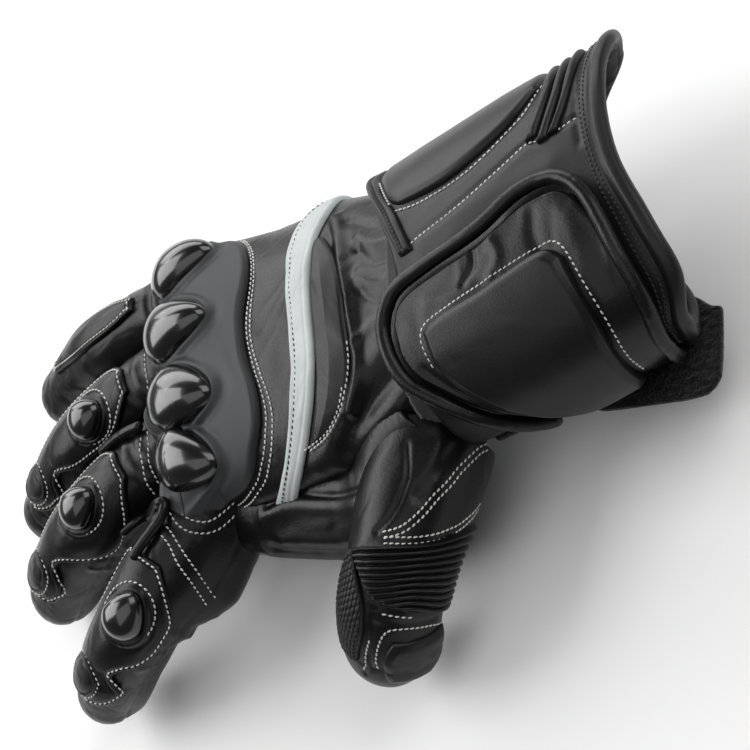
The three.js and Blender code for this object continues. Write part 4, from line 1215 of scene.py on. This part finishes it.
def makeShield(name):
    look = {**shieldLook, "skin": name, "rows": fingerLook["shields"][name]}
    skin, place = skins[name], fingerLook["domes"].get(name)

    def relief(points, distance):
        rim = 0 if place is None else domeRim(skin, points, place, shellLook)
        return ownRelief(look)(points, distance) + rim
    piece = panel(f"{name}_finger_shield", look, leather, [f"{name}_shield"], relief)
    sew(skin, insetPlaces(look, look["inset"], 60), topOf(look) + 0.1, closed=True)
    if place is not None:
        t, angle, length, width, _ = place
        longer, wider = look["round"]
        outline = ovalPlaces(skin, t - 0.01, angle, length * longer, width * wider)
        sew(skin, outline, topOf(look) + 0.62, closed=True)
    return piece


def ovalPlaces(skin, t, angle, length, width, count=20):
    perT, perAngle = skinScale(skin, t, angle)
    a = ringAngles(count, 2 * np.pi)
    return np.stack([t + length / 2 * np.cos(a) / perT, angle + width / 2 * np.sin(a) / perAngle], 1)


# Oval patch at a finger's tip: rings from its border to the middle
def makeTipPatch(name, rings=26, sides=120):
    look, skin = tipLook, skins[name]
    t, angle, length, width = fingerLook["tips"][name]
    border = ovalPlaces(skin, t, angle, length, width, sides)
    reach = np.linspace(1, 0.02, rings)[:, None]
    tt, aa = t + (border[None, :, 0] - t) * reach, angle + (border[None, :, 1] - angle) * reach
    distance = (1 - reach) * width / 2
    rise = look["thick"] * roundEdge(distance, look["edge"]) + ownRelief(look)(skin(tt, aa), distance)
    top = onSkin(skin, tt, aa, look["low"] + rise)
    foot = onSkin(skin, tt[:1], aa[:1], look["low"] - look["foot"])
    grid = np.concatenate([foot, top])
    points = np.vstack([grid.reshape(-1, 3), top[-1].mean(0), foot[0].mean(0)])
    faces = closedRings(len(grid), sides)
    piece = makePiece(f"{name}_tip_leather", points, faces, padLeather, [f"{name}_tip_patch"])
    seam = ovalPlaces(skin, t, angle, length + look["seam"], width + look["seam"])
    sew(skin, seam, look["low"] + look["seamLift"], closed=True)
    return piece


tieLook = {
    "radius": 1.8, "lift": 2.3, "gather": 0.04, "firstSeed": 250,
    "paths": [
        [("middle", .255, 40), ("middle", .19, 58), ("middle", .135, 77)],
        [("middle", .31, 170), ("middle", .265, 172), ("middle", .235, 179), ("index", .16, 74),
         ("index", .152, 86), ("index", .175, 93), ("index", .205, 90), ("index", .235, 86),
         ("index", .265, 84)]],
}

bandLook = {
    "skin": "hand", "low": 0.4, "thick": 1.6, "edge": 2.2, "grid": (30, 260), "waves": (0.1, 16, 151),
    "furrow": (0.25, 2.2, 0.6), "stitched": 0.74, "sunk": 0.15,
    "columns": [(-8, 2.05, 2.2), (10, 2.05, 2.24), (22, 2.05, 2.3), (32, 2.04, 2.41), (44, 2.06, 2.47),
                (58, 2.11, 2.49), (75, 2.12, 2.46), (92, 2.07, 2.42), (105, 2.05, 2.42), (120, 2.14, 2.5),
                (135, 2.32, 2.62), (150, 2.5, 2.76), (170, 2.74, 2.96), (188, 2.96, 3.16), (200, 3.1, 3.28)],
}


def makeTie(k, steps=60):
    path, look = tieLook["paths"][k], tieLook
    knots = [onSkin(skins[name], s, angle, look["lift"]) for name, s, angle in path]
    outs = [skinNormal(skins[name], s, angle) for name, s, angle in path]
    along = np.linspace(0, len(path) - 1, steps)
    centre, out = smoothRows(knots, along), unit(smoothRows(outs, along))
    body, faces = cordBody(centre, out, look["radius"], look["gather"], look["firstSeed"] + k)
    return makePiece(f"finger_loop_{k + 1}", body, faces, leather, [f"finger_tie_{k + 1}"])


def overWeb(points):
    return handRelief(points) + sleeveRise(points, ("web",))


def makeReflectiveBand():
    look = bandLook
    piece = panel("reflective_band", look, reflectiveCloth, ["reflective_piping"],
                  under=overWeb)
    line = lineAcross(look, look["stitched"])
    # These black stitches stand in for the shade in the band's stitch holes: painted shade
    sew(handSkin, line, topOf(look) - look["sunk"], relief=overWeb, thread="black")
    return piece


padLook = {
    "skin": "hand", "low": 0.2, "thick": 1.4, "edge": 1.6, "grid": (90, 170), "crown": (1.5, 11, 0.9),
    "waves": (0.15, 16, 161),
    "columns": [(56, 2.0, 2.1), (62, 1.88, 2.12), (70, 1.72, 2.1), (82, 1.52, 2.09), (95, 1.38, 2.04),
                (111, 1.31, 2.02), (125, 1.38, 2.13), (137, 1.58, 2.28), (144, 1.92, 2.37), (148, 2.2, 2.4)],
    "stitch": [(1.3, 106), (1.33, 117), (1.4, 127), (1.56, 136.5), (1.86, 143), (2.2, 146.5), (2.42, 148.5)],
}


def makeWristPad():
    piece = panel("wrist_padding", padLook, padLeather, ["wrist_pad"])
    sew(handSkin, padLook["stitch"], 0.9, relief=handRelief)
    sew(handSkin, [(t + 0.065, a - 1.5) for t, a in padLook["stitch"][2:]], 1.85)
    return piece


# Thumb: ribbed stretch panel, tip patch and grip panel

ribbedLook = {
    "skin": "thumb", "low": 0.1, "thick": 0.3, "edge": 1.2, "grid": (170, 90), "waves": (0.1, 9, 171),
    "columns": [(74, .45, .475), (80, .445, .50), (88, .435, .53), (96, .43, .56), (106, .42, .60),
                (116, .41, .625), (134, .39, .635), (150, .37, .64), (170, .335, .65), (190, .29, .66),
                (212, .24, .67), (236, .2, .67)],
    "count": 11, "pitch": 0.0245, "parallelBefore": 116, "blendOver": 84, "high": 1.5, "sharpness": 0.8,
}
thumbTipLook = {
    "skin": "thumb", "low": 0.1, "thick": 1.0, "edge": 0.8, "grid": (60, 80), "bevel": (1.1, 2.8),
    "waves": (0.1, 12, 185),
    "rows": [(.77, 152, 224), (.84, 147, 230), (.93, 145, 230), (1.02, 144, 226), (1.12, 146, 218),
             (1.24, 152, 206)],
}
gripLook = {
    "skin": "thumb", "low": 0.2, "thick": 1.3, "edge": 0.8, "grid": (110, 110),
    "rows": [(.46, 66, 76), (.54, 58, 88), (.64, 54, 104), (.76, 56, 114), (.88, 66, 114), (1.0, 82, 108)],
    "pitch": 1.9, "perT": 62, "perAngle": 0.29, "half": 0.47, "slope": 0.14, "high": 0.5, "sunk": 0.3,
}
thumbLook = {
    "waves": (0.18, 18, 181), "handReach": 10, "webReach": 14,
    "folds": [
        ([(0.1, 100), (0.2, 113), (0.3, 112), (0.38, 100)], 0.9, -0.8),
        ([(0.02, 128), (0.1, 134), (0.18, 140)], 3.4, 0.9),
        ([(0.04, 150), (0.14, 140), (0.24, 130)], 2.0, -0.5),
        ([(0.45, 240), (0.5, 270), (0.45, 320)], 1.8, -0.8),
        ([(0.4, 246), (0.42, 280), (0.4, 310)], 2.2, 0.6),
        ([(0.2, 20), (0.5, 28), (1.0, 20), (1.5, 10)], 0.9, -0.6),
        ([(0.69, 124), (0.69, 170), (0.69, 230)], 1.3, -0.5),
        ([(0.66, 118), (0.8, 127), (1.0, 127), (1.2, 118)], 1.0, -0.7)],
    "stitches": [
        [(1.0, 137), (.88, 137), (.76, 137), (.72, 142), (.71, 155), (.71, 181), (.73, 205), (.78, 226)],
        [(.78, 124), (.9, 123), (1.02, 120), (1.12, 116)], [(.665, 128), (.665, 147), (.665, 166)]],
    "seams": [
        [(0.0, 188), (0.03, 177), (0.11, 163), (0.16, 158), (0.22, 149), (0.29, 140), (0.35, 126),
         (0.385, 108)],
        [(0.40, 110), (0.365, 147), (0.30, 182), (0.22, 205), (0.16, 222)]],
}


# Ribs run side by side from the near edge, each a half wave of the distance from it in rib widths. The far,
# slanting edge cuts them off.
def makeThumbRibs():
    look, skin = ribbedLook, skins["thumb"]
    t, angle = panelGrid(look)
    points = skin(t, angle)
    distance = distanceTo(points, borderOf(points))
    even = (t[-1:] - t[:1]) / look["count"]
    blend = smoothStep((angle[:1] - look["parallelBefore"]) / look["blendOver"])
    width = look["pitch"] + (even - look["pitch"]) * blend
    rib = np.abs(np.sin(np.pi * (t - t[:1]) / width)) ** look["sharpness"]
    rise = look["thick"] + look["high"] * rib + unevenness(points, look["waves"])
    high = look["low"] + rise * np.clip(distance / look["edge"], 0, 1)
    body, faces = slabOf(skin, t, angle, -panelFoot, high)
    return makePiece("thumb_accordion", body, faces, leather, ["thumb_rib_panel"])


def thumbRelief(points):
    hand = skinCloud(handSkin, np.linspace(0.6, 4, 50), 120)
    web = skinCloud(skins["web"], np.linspace(0, 1, 50))
    return (lineRelief(skins["thumb"], points, thumbLook["folds"]) + unevenness(points, thumbLook["waves"])
            + fillet(points, hand, thumbLook["handReach"]) + fillet(points, web, thumbLook["webReach"]))


def makeThumbTip():
    piece = panel("thumb_tip_leather", thumbTipLook, padLeather, ["thumb_tip_patch"])
    for line in thumbLook["stitches"]:
        sew(skins["thumb"], line, 0.12, relief=thumbRelief)
    return piece


# Six-sided bosses: each point's measure to the nearest centre of two crossed grids, highest near that centre
def bossRelief(points, distance):
    look, root = gripLook, 1.732
    t, angle = panelGrid(look)
    x, y = t * look["perT"] / look["pitch"], angle * look["perAngle"] / look["pitch"]
    best = np.full(x.shape, np.inf)
    for shift in (0.0, 0.5):
        cx, cy = np.round(x - shift) + shift, (np.round(y / root - shift) + shift) * root
        dx, dy = np.abs(x - cx), np.abs(y - cy)
        best = np.minimum(best, np.maximum(dx, dx * 0.5 + dy * root / 2))
    return look["high"] * np.clip((look["half"] - best) / look["slope"], 0, 1) - look["sunk"]


def makeThumbGrip():
    return panel("thumb_grip_bosses", gripLook, palmLeather, ["thumb_grip_panel"], bossRelief)


palmLook = {
    "skin": "hand", "low": 0.4, "thick": 1.6, "edge": 0.9, "grid": (80, 90), "waves": (0.15, 20, 191),
    "furrow": (0.2, 2, 0.6), "inset": 2.0,
    "rows": [(1.9, 252, 290), (2.5, 246, 302), (3.2, 244, 306), (3.8, 250, 302)],
}


def makePalmPatch():
    piece = panel("palm_patch_leather", palmLook, palmLeather, ["palm_patch"])
    sew(handSkin, insetPlaces(palmLook, palmLook["inset"]), topOf(palmLook) + 0.05, closed=True)
    return piece


makeHand()
makeSleeve("thumb_web", "web", webRelief, rows=150, tipRows=20, sides=160)
makeGuard()
for k, place in enumerate(knuckleLook["places"]):
    makeDome(f"knuckle_shell_{k + 1}", "hand", place, knuckleLook, f"knuckle_dome_{k + 1}")
for name in fingerNames:
    makeSleeve(f"{name}_finger", name, fingerRelief(name), [f"{name}_stall"])
    makeShield(name)
for name, place in fingerLook["domes"].items():
    makeDome(f"{name}_finger_shell", name, place, shellLook, f"{name}_dome")
for name in fingerLook["tips"]:
    makeTipPatch(name)
for k in range(2):
    makeTie(k)
makeReflectiveBand()
makeWristPad()
makeSleeve("thumb_leather", "thumb", thumbRelief, ["thumb_stall"])
makeThumbRibs()
makeThumbTip()
makeThumbGrip()
makePalmPatch()
print("hand and fingers made")

# Seams of the hand
guardEdge = [(3.9, 24), (3.55, 40), (3.31, 56), (3.22, 69), (3.19, 79), (3.12, 88), (3.02, 97), (2.92, 109),
             (2.9, 120), (2.97, 133), (3.08, 147), (3.16, 156), (3.27, 163), (3.4, 170), (3.55, 176)]
for shift in (0.07, 0.14):
    sew(handSkin, [(t - shift, a + 20 * shift) for t, a in guardEdge], 0.25,
        relief=lambda points: handRelief(points) + fingerRise(points))
fingerSeams = {
    "index": [[(0.075, 184), (0.10, 179), (0.135, 171), (0.155, 160), (0.165, 147), (0.172, 131),
               (0.17, 112), (0.16, 95)],
              [(0.065, 174), (0.085, 169), (0.12, 160), (0.14, 151), (0.148, 141), (0.153, 127),
               (0.152, 112), (0.143, 97)],
              [(0.2, 100), (0.207, 118), (0.228, 142), (0.25, 176), (0.275, 200)],
              [(0.183, 100), (0.19, 118), (0.208, 144), (0.23, 178), (0.255, 202)]],
    "middle": [[(0.15, 84), (0.16, 100), (0.17, 115), (0.187, 140), (0.2, 168)],
               [(0.133, 84), (0.142, 100), (0.152, 115), (0.168, 140), (0.18, 168)]],
    "ring": [[(0.13, 70), (0.135, 100), (0.15, 130)]]}
for name, lines in fingerSeams.items():
    for line in lines:
        sew(skins[name], line, 0.15, relief=fingerRelief(name))
for line in thumbLook["seams"]:
    for shift in (-1.0, 1.0):
        sew(skins["thumb"], line, 0.1, shift=shift, relief=thumbRelief)
makeStitches("white_stitching", "white", whiteThread)
# Black stitches: real black seams, and the painted shade of the stitch holes on the reflective band
makeStitches("black_stitching_and_painted_hole_shade", "black", blackThreadAndHoleShade)

# Camera, floor and light

camera = {"target": (-88.0, -34.4, 37.7), "right": (0.738, -0.166, -0.654), "up": (0.4525, 0.840, 0.298),
          "distance": 1000.0, "lens": 158.4}


def makeCamera():
    data = bpy.data.cameras.new("camera")
    data.lens, data.sensor_width = camera["lens"], 36.0
    data.clip_start, data.clip_end = 0.05, 20.0
    holder = bpy.data.objects.new("camera", data)
    right = unit(np.array(camera["right"]))
    toward = unit(np.cross(right, np.array(camera["up"])))
    up = np.cross(toward, right)
    place = (np.array(camera["target"]) + toward * camera["distance"]) * mm
    holder.matrix_world = Matrix([[right[k], up[k], toward[k], place[k]] for k in range(3)] + [[0, 0, 0, 1]])
    bpy.context.scene.collection.objects.link(holder)
    bpy.context.scene.camera = holder


def makeFloor():
    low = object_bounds()[0].z - 0.0005
    mesh = bpy.data.meshes.new("floor")
    mesh.from_pydata([(-6, -6, low), (6, -6, low), (6, 6, low), (-6, 6, low)], [], [(0, 1, 2, 3)])
    floor = bpy.data.objects.new("floor", mesh)
    material, surface, place = newMaterial("pale floor", {"Roughness": 0.9, "Specular IOR Level": 0.1})
    feed(surface, mixColors(place.noise(3.0).clamp(), (0.90, 0.90, 0.90), (0.93, 0.93, 0.93)), "Base Color")
    mesh.materials.append(material)
    bpy.context.scene.collection.objects.link(floor)


lamps = {  # place and aim in metres, size, watts
    "key": ((-0.95, 0.3, 0.8), (-0.12, 0.0, 0.0), (0.8, 0.9), 10.0),
    "back": ((-0.35, 1.0, 0.5), (-0.1, 0.0, 0.0), (1.4, 0.6), 10.0),
    "front": ((-0.1, -0.55, 1.2), (-0.12, 0.0, 0.0), (1.5, 1.1), 5.5),
    "right": ((0.95, 0.3, 0.8), (0.02, 0.0, 0.0), (1.0, 1.0), 8.5),
}
worldStrength = 0.13


def makeLamps():
    for name, (place, aim, size, watts) in lamps.items():
        data = bpy.data.lights.new(name, "AREA")
        data.shape, data.size, data.size_y, data.energy = "RECTANGLE", size[0], size[1], watts
        lamp = bpy.data.objects.new(name, data)
        lamp.location = place
        lamp.rotation_mode = "QUATERNION"
        lamp.rotation_quaternion = (Vector(aim) - Vector(place)).to_track_quat("-Z", "Y")
        bpy.context.scene.collection.objects.link(lamp)
    world = bpy.data.worlds.new("studio")
    world.use_nodes = True
    world.node_tree.nodes["Background"].inputs["Color"].default_value = (1, 1, 1, 1)
    world.node_tree.nodes["Background"].inputs["Strength"].default_value = worldStrength
    bpy.context.scene.world = world
    bpy.context.scene.view_settings.view_transform = "Standard"


makeCamera()
makeFloor()
makeLamps()
triangles = sum(len(piece.data.loops) - 2 * len(piece.data.polygons) for piece in pieceList)
print("pieces:", len(pieceList), "triangles:", triangles)
